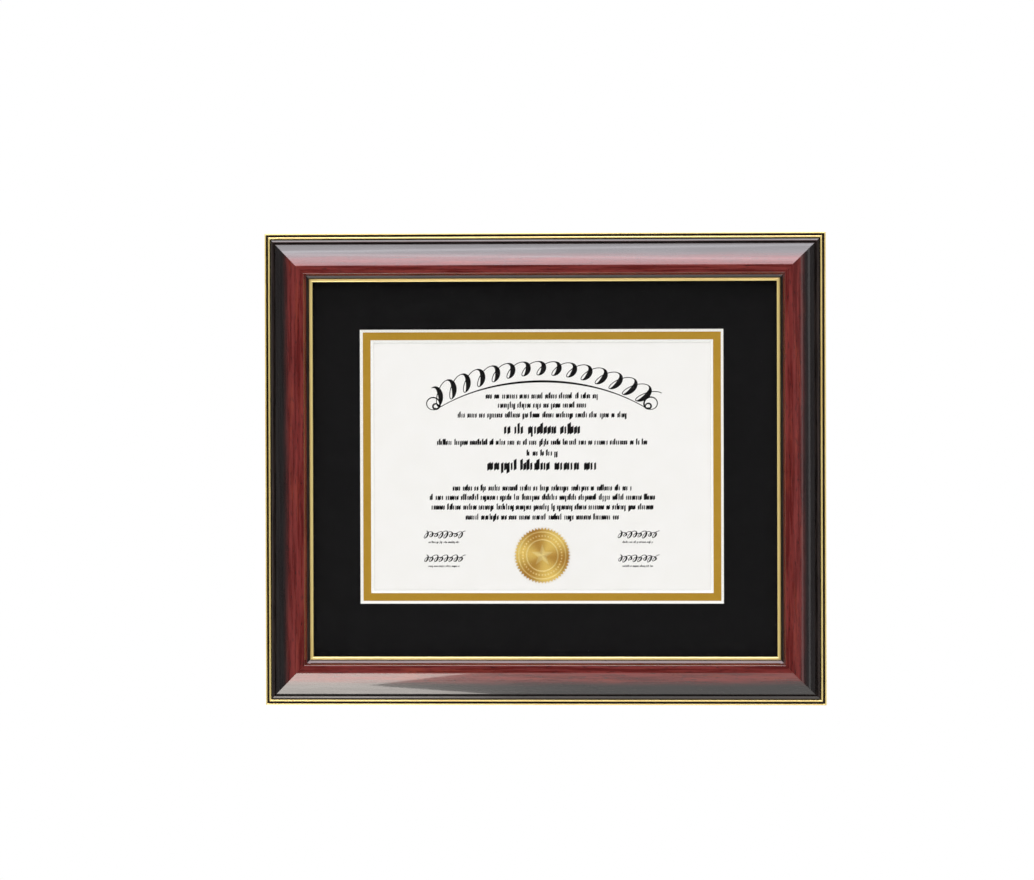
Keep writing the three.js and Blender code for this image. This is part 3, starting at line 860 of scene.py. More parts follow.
class Palette:
    """The finishes of the frame's pieces and of the floor."""

    face = SprayedLacquer()
    black = BlackLacquer()
    gilt = GiltLeaf()
    side = GiltLeaf("gilding_bronze_powder_brushed_thin", "#d8b560", ((RUBBED, "#a67a31"),))
    bare = PlanedWood()
    # The mats' papers: the black one is felted and hardly shines, the gold one is coated and smoother.
    black_paper = board("mat_paper_black_felted", "#080809", "#101011", amount=0.55, depth=0.02, gloss=0.12)
    gold_paper = board("mat_paper_gold_coated", "#ae851e", "#b58d2e", amount=0.45, rough=0.6, gloss=0.2)
    # White sheets, from bright cotton cores and the document's wove paper to greyer liners and foam.
    core = board("mat_core_white_cotton", "#fffefb", "#f6f5f0", amount=0.4)
    liner = board("mat_liner_white", "#eceae4", "#d9d6cd")
    paper = board("paper_white_wove", "#f6f4f2", "#f0eeea", depth=0.006)
    foam = board("foam_board_white", "#efede7", "#dcd9d0")
    # Brown wood fibres pressed into a dull, mottled sheet with the faint print of a wire screen.
    hardboard = board(
        "hardboard_screen_pressed", "#6d5039", "#806146", (1.2, 1.2, 0.9), amount=0.8, depth=0.03, screen=1.8
    )
    ink = PrintedInk()
    foil = EmbossedFoil()
    # Glass without a colour of its own, and film that is a little greyer and less even.
    glass = ClearSheet()
    film = ClearSheet(
        "film_polyester_clear",
        "#f5f7f7",
        sockets=(("IOR", 1.6), ("Transmission Weight", 1.0)),
        rough_from=Pattern((9.0, 9.0, 9.0)),
    )
    # Bright grey steel in the nails, warm brass on the buttons and screws, paler grey nickel on the hanger.
    nail = PlatedSteel("steel_bright_stamped", "#bdbdbb", ((TARNISH, "#9c9c99"),))
    button = PlatedSteel("steel_brass_plated_stamped", "#d2b468", ((TARNISH, "#bb984a"),))
    screw = PlatedSteel("steel_brass_plated_drawn", "#cdb26c", ((SMALL_TARNISH, "#b0924c"),))
    hanger = PlatedSteel("steel_nickel_plated_stamped", "#c4c5c3", ((TARNISH, "#a6a5a1"),))
    rubber = MouldedRubber()
    # A pale seamless paper with hardly any mottling.
    floor = board("floor_paper_seamless", "#f2f1ee", "#ebeae6", amount=0.3)


class Side(Enum):
    """A side of the frame: its outward direction and the direction along it, in X and Z."""

    TOP = ((0.0, 1.0), (1.0, 0.0))
    RIGHT = ((1.0, 0.0), (0.0, -1.0))
    BOTTOM = ((0.0, -1.0), (-1.0, 0.0))
    LEFT = ((-1.0, 0.0), (0.0, 1.0))

    @property
    def outward(self) -> Array:
        """Unit vector away from the frame's middle."""
        return np.array(self.value[0])

    @property
    def along(self) -> Array:
        """Unit vector along the rail."""
        return np.array(self.value[1])


class Band(IntEnum):
    """Finish of one stretch of the moulding's section."""

    GILT = 0
    BLACK = 1
    FACE = 2
    BARE = 3
    SIDE = 4


@dataclass
class Profile:
    """A milled section, drawn from the outer side inwards.

    Attributes:
        height: Height above the back of the line that the next stretch starts from.
        count: Points of a bead or a cove.
        across: Inset where the next stretch starts.
        runs: The stretches so far, each with its band.
    """

    height: float
    count: int
    across: float = 0.0
    runs: list[tuple[Array, Band]] = field(default_factory=list)

    def add(self, points: Sequence[Sequence[float]], band: Band) -> None:
        """Add a stretch through these points."""
        self.runs.append((np.array(points, float), band))

    def bead(self, width: float, band: Band) -> None:
        """Add a half round that stands on the line.

        Args:
            width: Its width.
            band: Its finish.
        """
        middle = (self.across + width / 2, self.height)
        self.add(arc(middle, width / 2, 180, 0, self.count), band)
        self.across += width

    def groove(self, size: Pair, step: float, cove: float) -> None:
        """Add a groove: its floor, a quadratic cove and the wall up to the next line.

        Args:
            size: Its width, and its depth below the line.
            step: How far the next line lies above this one.
            cove: Reach of the cove on the floor and on the wall.
        """
        floor, stop = self.height - size[1], self.across + size[0]
        bend = bezier([(stop - cove, floor), (stop, floor), (stop, floor + cove)], self.count)
        self.add([(self.across, floor), *bend, (stop, self.height + step)], Band.BLACK)
        self.across, self.height = stop, self.height + step


@dataclass
class Moulding:
    """Four mitred lengths of lacquered moulding and the nails across their corners.

    A pair is a width and a depth for a groove, and a width and a rise or fall for the other parts.
    """

    width: float = 38.1
    lip: float = 6.5
    lip_thickness: float = 2.2
    crest_rise: float = 8.8
    crest_ease: float = 0.7
    swell: float = 0.35
    edge_height: float = 11.7
    edge_bead: float = 1.1
    edge_groove: Pair = (1.7, 0.6)
    gilt_bead: float = 1.4
    gilt_step: float = 0.7
    gilt_groove: Pair = (1.1, 0.4)
    cushion: Pair = (1.9, 0.8)
    cushion_handle: Pair = (0.85, 0.7)
    cushion_step: float = 0.5
    quirk: Pair = (1.7, 0.3)
    quirk_rise: float = 2.2
    quirk_cove: float = 0.6
    groove_cove: float = 0.25
    inner_width: float = 7.5
    crown: Pair = (5.8, 0.6)
    shoulder_ease: float = 0.5
    fillet: Pair = (2.2, 1.0)
    sight_bead: float = 2.7
    rabbet_depth: float = 13.99
    mitre_gap: float = 0.05
    curve_points: int = 40
    bead_points: int = 22
    crease: float = 28.0
    grain_shift: float = 7300.0
    nail_leg: float = 6.0
    nail_steel: float = 0.6
    nail_length: float = 8.0
    nail_proud: float = 0.03
    nail_insets: tuple[tuple[str, float], ...] = (("outer", 10.0), ("inner", 21.6))

    def __post_init__(self) -> None:
        """Take the frame's outer size and the plane of its back from the rails' solids."""
        lows, highs = zip(*(box_of(f"rail_{side.name.lower()}") for side in Side))
        low, high = np.min(lows, 0), np.max(highs, 0)
        self.back = float(high[1])
        self.depth = float((high - low)[1])
        self.middle = (low + high)[PLAN] / 2
        self.half = (high - low)[PLAN] / 2

    def section(self) -> tuple[Array, Array]:
        """Draw the milled section, inset from the outer side by height above the back.

        Half circles make the beads, straight lines with small coves the grooves and the quirk, straight
        lines the crown, the inner slope and the fillet, and quadratic curves the cushion, the swollen face,
        the crest and the shoulder, set end to end.

        Returns:
            The section's points, and the band that starts at each of them.
        """
        milled = Profile(self.edge_height, self.bead_points)
        milled.add([(0, 0), (0, self.edge_height)], Band.SIDE)
        milled.bead(self.edge_bead, Band.GILT)
        milled.groove(self.edge_groove, self.gilt_step, self.groove_cove)
        milled.bead(self.gilt_bead, Band.GILT)
        milled.groove(self.gilt_groove, self.cushion_step, self.groove_cove)
        cushion = np.array([(0, 0), self.cushion_handle, self.cushion]) + (milled.across, milled.height)
        milled.add(bezier(cushion, self.bead_points), Band.BLACK)
        milled.across = cushion[-1, 0]
        milled.groove(self.quirk, self.quirk_rise, self.quirk_cove)

        quirk_end = np.array([milled.across, milled.height])
        fillet_in = self.width - self.sight_bead - self.fillet[0]
        lip_front = self.rabbet_depth + self.lip_thickness
        crest = np.array([fillet_in - self.inner_width, self.rabbet_depth + self.crest_rise])
        chord = (crest - quirk_end) / np.linalg.norm(crest - quirk_end)
        face_handle = (quirk_end + crest) / 2 + 2 * self.swell * np.array([-chord[1], chord[0]])
        shoulder = crest + np.array([self.crown[0], -self.crown[1]])
        slope_end = np.array([fillet_in, lip_front + self.fillet[1]])
        face_end = towards(crest, face_handle, self.crest_ease)
        crown_start = towards(crest, shoulder, self.crest_ease)
        crown_end = towards(shoulder, crest, self.shoulder_ease)
        slope_start = towards(shoulder, slope_end, self.shoulder_ease)
        milled.add(bezier([quirk_end, face_handle, face_end], self.curve_points), Band.FACE)
        milled.add(bezier([face_end, crest, crown_start], self.bead_points), Band.FACE)
        milled.add(bezier([crown_end, shoulder, slope_start], self.bead_points), Band.FACE)

        milled.across, milled.height = fillet_in + self.fillet[0], lip_front
        milled.add([slope_end, (milled.across, lip_front)], Band.BLACK)
        milled.bead(self.sight_bead, Band.GILT)
        wall, ledge = self.width - self.lip, self.rabbet_depth
        milled.add([(self.width, lip_front), (self.width, ledge)], Band.GILT)
        milled.add([(self.width, ledge), (wall, ledge), (wall, 0), (0, 0)], Band.BARE)

        points = np.concatenate([run for run, _ in milled.runs]).clip(max=(self.width, self.depth))
        bands = np.concatenate([np.full(len(run), band) for run, band in milled.runs])
        fresh = np.linalg.norm(np.roll(points, -1, 0) - points, axis=1) > WELD
        return points[fresh], bands[fresh]

    def rail(self, side: Side) -> Surface:
        """Carry the section along one side between two mitre planes.

        A point at inset u and height h lies at outward (half - u) + along t (length - u) and Y = back - h,
        with t = -1 and 1 at the two ends.

        Args:
            side: The side of the frame.

        Returns:
            The rail, with its inset and its grain coordinates marked.
        """
        section, bands = self.section()
        inset, height = section.T
        count = len(section)
        reach = abs(self.half @ side.outward)
        length = abs(self.half @ side.along) - self.mitre_gap
        travel = np.array([-1.0, 1.0])[:, None] * (length - inset)
        flat = (reach - inset)[None, :, None] * side.outward + travel[..., None] * side.along
        flat = flat + self.middle
        y = np.broadcast_to(self.back - height, travel.shape)
        rings = np.stack([flat[..., 0], y, flat[..., 1]], -1)
        steps = np.linalg.norm(np.diff(section, axis=0), axis=1)
        girth = np.broadcast_to(np.concatenate([[0], np.cumsum(steps)]), travel.shape)
        apart = np.full(travel.shape, self.grain_shift * list(Side).index(side))
        grain = np.stack([travel, girth, apart], -1)
        caps = [np.arange(count)[::-1], count + np.arange(count)]
        finish = np.concatenate([bands, np.full(len(caps), Band.BARE)])
        marks = {"inset": np.tile(inset, 2), "grain": grain.reshape(-1, 3) * MM}
        return Surface(rings.reshape(-1, 3), tube_quads(2, count), caps, finish, marks)

    def nail(self, corner: Array, inset: float) -> Surface:
        """Fold a steel strip into a right angle whose edge lies flush in the back.

        Two blocks, each a leg by the strip's thickness, meet at the fold on the mitre line.

        Args:
            corner: Signs of the corner in X and Z.
            inset: Distance of the fold from both outer sides.

        Returns:
            The nail.
        """
        half, leg = self.nail_steel / 2, -self.nail_leg
        fold = self.middle + corner * (self.half - inset)
        across = [(half, half), (leg, half), (leg, -half)]
        upright = [(-half, -half), (-half, leg), (half, leg)]
        loop = fold + corner * np.array(across + upright)
        ends = (self.back + self.nail_proud, self.back - self.nail_length)
        return capped_tube(np.stack([at_depth(loop, y) for y in ends]))

    def build(self) -> None:
        """Make and dress the rails and the corner nails."""
        finishes = [Palette.gilt, Palette.black, Palette.face, Palette.bare, Palette.side]
        for side in Side:
            name = side.name.lower()
            shape = self.rail(side)
            node = f"rail_{name}"
            add_piece(f"moulding_{name}", shape, finishes, [node], crease=self.crease)
        for vertical, sign_z in (("top", 1), ("bottom", -1)):
            for horizontal, sign_x in (("right", 1), ("left", -1)):
                for place, inset in self.nail_insets:
                    where = f"{vertical}_{horizontal}_{place}"
                    shape = self.nail(np.array([sign_x, sign_z]), inset)
                    node = f"v_nail_{where}"
                    add_piece(f"corner_nail_{where}", shape, [Palette.nail], [node])


class Ply(IntEnum):
    """Finish of one face of a mat board."""

    PAPER = 0
    CORE = 1
    LINER = 2


@dataclass
class Mat:
    """A mat board with a bevelled window.

    Attributes:
        node: The solid that it stands for.
        piece: The piece's name.
        slot: The record's slot; not used.
        facing: Finish of its front paper.
        window: Width and height of the window at the back.
        board: Thickness of the board.
        sheet: Thickness of the front paper.
    """

    node: str
    piece: str
    slot: str
    facing: Finish
    window: Pair
    board: float = 2.4
    sheet: float = 0.3

    def surface(self) -> Surface:
        """Carry the board's section round the window.

        Each ring is a rectangle (x, z) = middle + (sign half width, sign half height). The rings run from
        the outer edge over the front to the window, down the 45 degree bevel and back along the rear.

        Returns:
            The mat, with finish numbers for its paper, core and liner.
        """
        low, high = box_of(self.node)
        outer = (low + high)[PLAN] / 2, (high - low)[PLAN] / 2
        window = centre_of("diploma"), np.array(self.window) / 2
        front, back = low[1], high[1]
        rings = [
            (outer, 0.0, front, Ply.PAPER),
            (window, self.board, front, Ply.PAPER),
            (window, self.board - self.sheet, front + self.sheet, Ply.CORE),
            (window, 0.0, back, Ply.LINER),
            (outer, 0.0, back, Ply.CORE),
        ]
        signs = np.array([(1, 1), (1, -1), (-1, -1), (-1, 1)])
        loops = [at_depth(middle + signs * (half + grow), y) for (middle, half), grow, y, _ in rings]
        plies = np.repeat([ply for *_, ply in rings], len(signs))
        return Surface(np.concatenate(loops), tube_quads(len(rings), len(signs), closed=True), (), plies)

    def build(self) -> None:
        """Make and dress the mat."""
        finishes = [self.facing, Palette.core, Palette.liner]
        add_piece(self.piece, self.surface(), finishes, [self.node])


@dataclass
class Certificate:
    """The blank form's printed ornament and its foil seal.

    A pen is half the width of its thin and of its thick strokes. A loop's size is half its length, half its
    height and its slant.

    Attributes:
        loop_swell: Mean height of the arch's loops, and its change from the ends to the middle.
        underline: Its drop below the arch, how it bends, and the width that it gains.
        scroll: Reach and turns of its end scrolls, and the width that they gain.
        short_step: A short stroke has one in this many of a long one's points.
        scribble_swell: Least height of the scribbles' loops, and its change.
        rows: Height of each row's foot, its length and the height of its strokes.
        caption: Length and stroke height of the row under a scribble.
        stroke: Pitch as a share of the strokes' height and a fixed part, and their half width's share.
        group_sizes: Fewest strokes of a group, and one more than the most.
        group_gap: Gap between groups, in pitches.
        tall: Strokes whose draw is above the first number reach as many heights as the second says.
        tail: Strokes whose draw is below the first number go down by as many heights as the second says.
        cut: Slant of a stroke's ends, as a share of its half width.
        ring_fall: Share of a ring's width at which it has fallen to 1 / e.
        ray_ends: Distances of the rays' ends from the first ring and from the edge.
        star: Distance of the star's tips and of its waists from the middle.
        star_lift: Height of the star at its outline, and how much its middle rises above that.
        rim_start: Share of the radius where the rim starts to fall off.
        painted_sheen: Painted highlight on the foil: mean, swing at the middle, swing added at the edge.
        shine: Painted highlight of the ridges, in the brown parts and added in the bright ones.
    """

    ink: float = 0.02
    ink_lift: float = 0.004
    arch_radius: float = 168.0
    arch_span: float = 31.0
    arch_top: float = 77.0
    loop_count: int = 15
    loop_size: Triple = (4.5, 7.6, 4.2)
    loop_swell: Pair = (0.85, 0.15)
    pen: Pair = (0.32, 2.0)
    pen_contrast: float = 1.6
    underline: Triple = (9.5, 0.8, 0.55)
    scroll: Triple = (7.5, 2.3, 0.4)
    scroll_decay: float = 7.5
    path_points: int = 1600
    short_step: int = 4
    scribbles: tuple[Pair, ...] = ((-77.5, -53.5), (75.0, -53.5), (-77.5, -72.3), (75.0, -72.3))
    scribble_length: float = 31.0
    scribble_loops: int = 8
    scribble_size: Triple = (1.9, 2.9, 1.7)
    scribble_swell: Pair = (0.3, 0.7)
    scribble_pen: Pair = (0.24, 0.66)
    first_beat: int = 2
    rows: tuple[Triple, ...] = (
        (53.3, 90.0, 3.1),
        (46.1, 70.0, 3.1),
        (38.4, 133.0, 3.1),
        (25.8, 60.0, 5.4),
        (17.0, 167.0, 3.1),
        (8.5, 24.0, 3.1),
        (-2.6, 85.0, 5.4),
        (-18.9, 141.0, 3.1),
        (-26.2, 177.0, 3.1),
        (-33.8, 175.0, 3.1),
        (-41.7, 120.0, 3.1),
    )
    caption_drop: float = 6.6
    caption: Pair = (24.0, 1.1)
    stroke: Triple = (0.46, 0.1, 0.2)
    stroke_jitter: float = 0.35
    stroke_seed: int = 11
    group_sizes: tuple[int, int] = (2, 10)
    group_count: int = 200
    group_gap: float = 1.1
    tall: Pair = (0.84, 1.5)
    tail: Pair = (0.07, 0.45)
    cut: float = 0.6
    seal_teeth: int = 52
    seal_steps: int = 10
    seal_rings: int = 74
    seal_crease: float = 50.0
    tooth_depth: float = 1.9
    foil: float = 0.3
    ridge: float = 0.2
    hub_share: float = 0.01
    ring_insets: Pair = (3.6, 9.8)
    ring_width: float = 1.0
    ring_fall: float = 0.42
    beads: int = 40
    bead_radius: float = 0.75
    ray_lift: float = 0.3
    ray_ends: Pair = (0.8, 1.0)
    star: Pair = (9.0, 3.6)
    star_points: int = 5
    star_lift: Pair = (0.35, 0.65)
    rim_start: float = 0.985
    rim_fall: float = 0.6
    # Painted light: bright and brown sectors round the disc and brighter ridges on the foil.
    painted_sheen: Triple = (0.55, 0.2, 0.3)
    painted_sheen_turns: int = 3
    painted_sheen_start: float = 50.0
    shine: Pair = (0.35, 0.5)

    def __post_init__(self) -> None:
        """Take the paper's middle from its solid, and lay the ink just in front of it."""
        self.middle = centre_of("diploma")
        rear = float(box_of("diploma")[0][1]) - self.ink_lift
        self.planes = (rear, rear - self.ink)

    def loops(
        self, line: Array, count: int, size: Triple, swell: Array, pen: Pair
    ) -> tuple[Array, Array]:
        """Wind pen loops along a line.

        With f = 2 pi n t a point leaves the line by b cos f across it, times the swell, and by a sin f and
        the swell times c cos f along it. The pen is wide on the down strokes.

        Args:
            line: Points in X and Z.
            count: How many loops n to wind.
            size: Half length a, half height b and slant c of a loop.
            swell: Height of the loops at each point, where 1 is the full size.
            pen: Half width of the thin and of the thick strokes.

        Returns:
            The pen's path and its half width at each point.
        """
        half_length, half_height, slant = size
        thin, thick = pen
        tangent = np.gradient(line, axis=0)
        tangent /= np.linalg.norm(tangent, axis=1, keepdims=True)
        normal = np.stack([-tangent[:, 1], tangent[:, 0]], -1)
        turn = np.linspace(0, 2 * np.pi * count, len(line))
        rise = swell * half_height * np.cos(turn)
        slide = half_length * np.sin(turn) + swell * slant * np.cos(turn)
        width = thin + (thick - thin) * np.clip(np.sin(turn), 0, 1) ** self.pen_contrast
        return line + normal * rise[:, None] + tangent * slide[:, None], width

    def flourish(self) -> Surface:
        """Draw pen loops along an arch, an underline with a scroll at each end, and four scribbles.

        The arch is hub + radius (sin a, cos a). The scrolls are spirals whose radius shrinks as exp(-a / k),
        and each scribble's loops swell to their own beat |cos(pi k t)|.

        Returns:
            All the strokes as one surface.
        """
        share = np.linspace(0, 1, self.path_points)
        span = math.radians(self.arch_span)
        lean = (2 * share - 1) * span
        hub = np.array([0.0, self.arch_top - self.arch_radius])
        out = np.stack([np.sin(lean), np.cos(lean)], -1)
        wave = np.cos(2 * np.pi * share)
        swell = self.loop_swell[0] + self.loop_swell[1] * wave
        arch = hub + self.arch_radius * out
        strokes = [self.loops(arch, self.loop_count, self.loop_size, swell, self.pen)]

        drop, bend, gain = self.underline
        under = hub + out * (self.arch_radius - drop + bend * wave)[:, None]
        strokes.append((under, self.pen[0] + gain * np.sin(np.pi * share) ** 2))
        reach, turns, scroll_gain = self.scroll
        angle = np.linspace(0, 2 * np.pi * turns, self.path_points // self.short_step)
        shrink = reach * np.exp(-angle / self.scroll_decay)
        spiral = shrink[:, None] * np.stack([np.sin(angle), 1 - np.cos(angle)], -1)
        width = self.pen[0] + scroll_gain * np.sin(np.linspace(0, np.pi, len(angle))) ** 2
        cos, sin = math.cos(span), math.sin(span)
        outwards = spiral @ np.array([[cos, -sin], [sin, cos]])
        strokes.append((under[-1] + outwards, width))
        strokes.append((under[0] + outwards * (-1, 1), width))

        short = share[:: self.short_step]
        along = np.stack([self.scribble_length * (short - 0.5), np.zeros_like(short)], -1)
        low, change = self.scribble_swell
        for beat, place in enumerate(self.scribbles, self.first_beat):
            height = low + change * np.abs(np.cos(np.pi * beat * short))
            shape = self.scribble_loops, self.scribble_size, height, self.scribble_pen
            strokes.append(self.loops(along + place, *shape))
        return joined([ribbon(self.middle + path, half, *self.planes) for path, half in strokes])

    def writing(self) -> Surface:
        """Fill rows with upright pen strokes in groups, which spell nothing.

        A stroke is a slanted-ended bar one pen width wide. Groups of strokes are parted by gaps, a few
        strokes stand taller or go below the row, and each row is cut at its length and centred.

        Returns:
            All the strokes as one surface.
        """
        draw = np.random.default_rng(self.stroke_seed)
        captions = [(z - self.caption_drop, *self.caption, x) for x, z in self.scribbles]
        outlines = []
        for z, length, body, x in [(*row, 0.0) for row in self.rows] + captions:
            pitch = self.stroke[0] * body + self.stroke[1]
            groups = draw.integers(*self.group_sizes, self.group_count)
            number = np.arange(groups.sum())
            group = np.repeat(np.arange(len(groups)), groups)
            place = pitch * (number + self.group_gap * group + self.stroke_jitter * draw.random(len(number)))
            place = place[place < length]
            place += x - (place[0] + place[-1]) / 2
            tall, broad = draw.random((2, len(place)))
            half = self.stroke[2] * body * (1 + self.stroke_jitter * (2 * broad - 1))
            top = z + body * np.where(tall > self.tall[0], self.tall[1], 1.0)
            foot = z - body * np.where(tall < self.tail[0], self.tail[1], 0.0)
            slant = self.cut * half
            left, right = place - half, place + half
            below = [(left, foot - slant), (right, foot + slant)]
            above = [(right, top + slant), (left, top - slant)]
            outlines.append(np.stack([np.stack(corner, -1) for corner in below + above], 1))
        return prism(self.middle + np.concatenate(outlines), *self.planes)

    def relief(self, r: Array, angle: Array, tooth: Array, radius: float) -> Array:
        """Work out the seal's ridges, each as the higher of what is there and what comes.

        They are Gaussian rings, a ring of half-sphere beads, rays towards the teeth, and a star whose facets
        fall straight from its middle to its outline.

        Args:
            r: Distance of each point from the middle.
            angle: Its angle.
            tooth: 1 at a tooth's tip and 0 between two teeth.
            radius: The seal's radius.

        Returns:
            The height of each point from 0 to 1.
        """
        lift = np.zeros_like(r)
        for inset in self.ring_insets:
            off = (r - radius + inset) / (self.ring_fall * self.ring_width)
            lift = np.maximum(lift, np.exp(-(off**2)))
        band = radius - sum(self.ring_insets) / 2
        sector = 2 * np.pi / self.beads
        aside = (angle + sector / 2) % sector - sector / 2
        away = np.hypot(r * np.cos(aside) - band, r * np.sin(aside))
        lift = np.maximum(lift, np.sqrt(np.clip(1 - (away / self.bead_radius) ** 2, 0, 1)))
        ends = (radius - self.ring_insets[0] + self.ray_ends[0], radius - self.ray_ends[1])
        lift = np.maximum(lift, self.ray_lift * tooth * smooth(r, *ends))
        wedge = np.pi / self.star_points
        folded = np.abs((angle - np.pi / 2 + wedge) % (2 * wedge) - wedge)
        tip, waist = self.star
        across = waist * np.sin(wedge - folded) + tip * np.sin(folded)
        outline = tip * waist * math.sin(wedge) / across
        low, rise = self.star_lift
        return np.maximum(lift, np.where(r < outline, low + rise * (1 - r / outline), 0))

    def seal(self) -> Surface:
        """Press a serrated foil disc.

        A point at share s of the edge radius R(a) lies at (s R cos a, s R sin a). R falls by a tooth's depth
        between teeth. The height is the foil's thickness plus the relief, which sinks at the rim. Painted
        light swings bright and brown with the cosine of a few turns of the angle, as it would on spun metal.

        Returns:
            The seal, with painted highlights on its ridges and round the disc marked from 0 to 1.
        """
        low, high = box_of("gold_seal")
        middle = centre_of("gold_seal")
        radius = (high - low)[2] / 2
        count = self.seal_teeth * self.seal_steps
        angle = np.pi / 2 + np.arange(count) * 2 * np.pi / count
        tooth = np.abs((np.arange(count) / self.seal_steps) % 1 - 0.5) * 2
        edge = radius - self.tooth_depth * (1 - tooth)
        r = np.linspace(self.hub_share, 1, self.seal_rings)[:, None] * edge
        flat = r / radius
        lift = self.relief(r, angle, tooth, radius) * (1 - self.rim_fall * smooth(flat, self.rim_start, 1.0))
        front = high[1] - self.foil - self.ridge * lift
        top = np.stack([middle[0] + r * np.cos(angle), front, middle[1] + r * np.sin(angle)], -1)
        rear = top[[-1, 0]]
        rear[..., 1] = high[1]
        shape = capped_tube(np.concatenate([top, rear]))
        # Painted light: bright and brown sectors round the disc, as light would fall on spun foil.
        mean, swing, more = self.painted_sheen
        wave = np.cos(self.painted_sheen_turns * (angle - math.radians(self.painted_sheen_start)))
        painted_sheen = mean + wave * (swing + more * flat)
        lift = np.concatenate([lift, np.zeros_like(lift[: len(rear)])])
        painted_sheen = np.concatenate([painted_sheen, painted_sheen[: len(rear)]])
        # Painted highlight on the ridges, brighter in the bright sectors; the hollows stay in painted shade.
        dim, bright = self.shine
        shape.marks = {"relief": (lift * (dim + bright * painted_sheen)).ravel(), "painted_sheen": painted_sheen.ravel()}
        return shape

    def build(self) -> None:
        """Make and dress the print and the seal."""
        add_piece("certificate_flourish", self.flourish(), [Palette.ink])
        add_piece("certificate_writing", self.writing(), [Palette.ink])
        shape = self.seal()
        add_piece("seal_disc", shape, [Palette.foil], ["gold_seal"], crease=self.seal_crease)


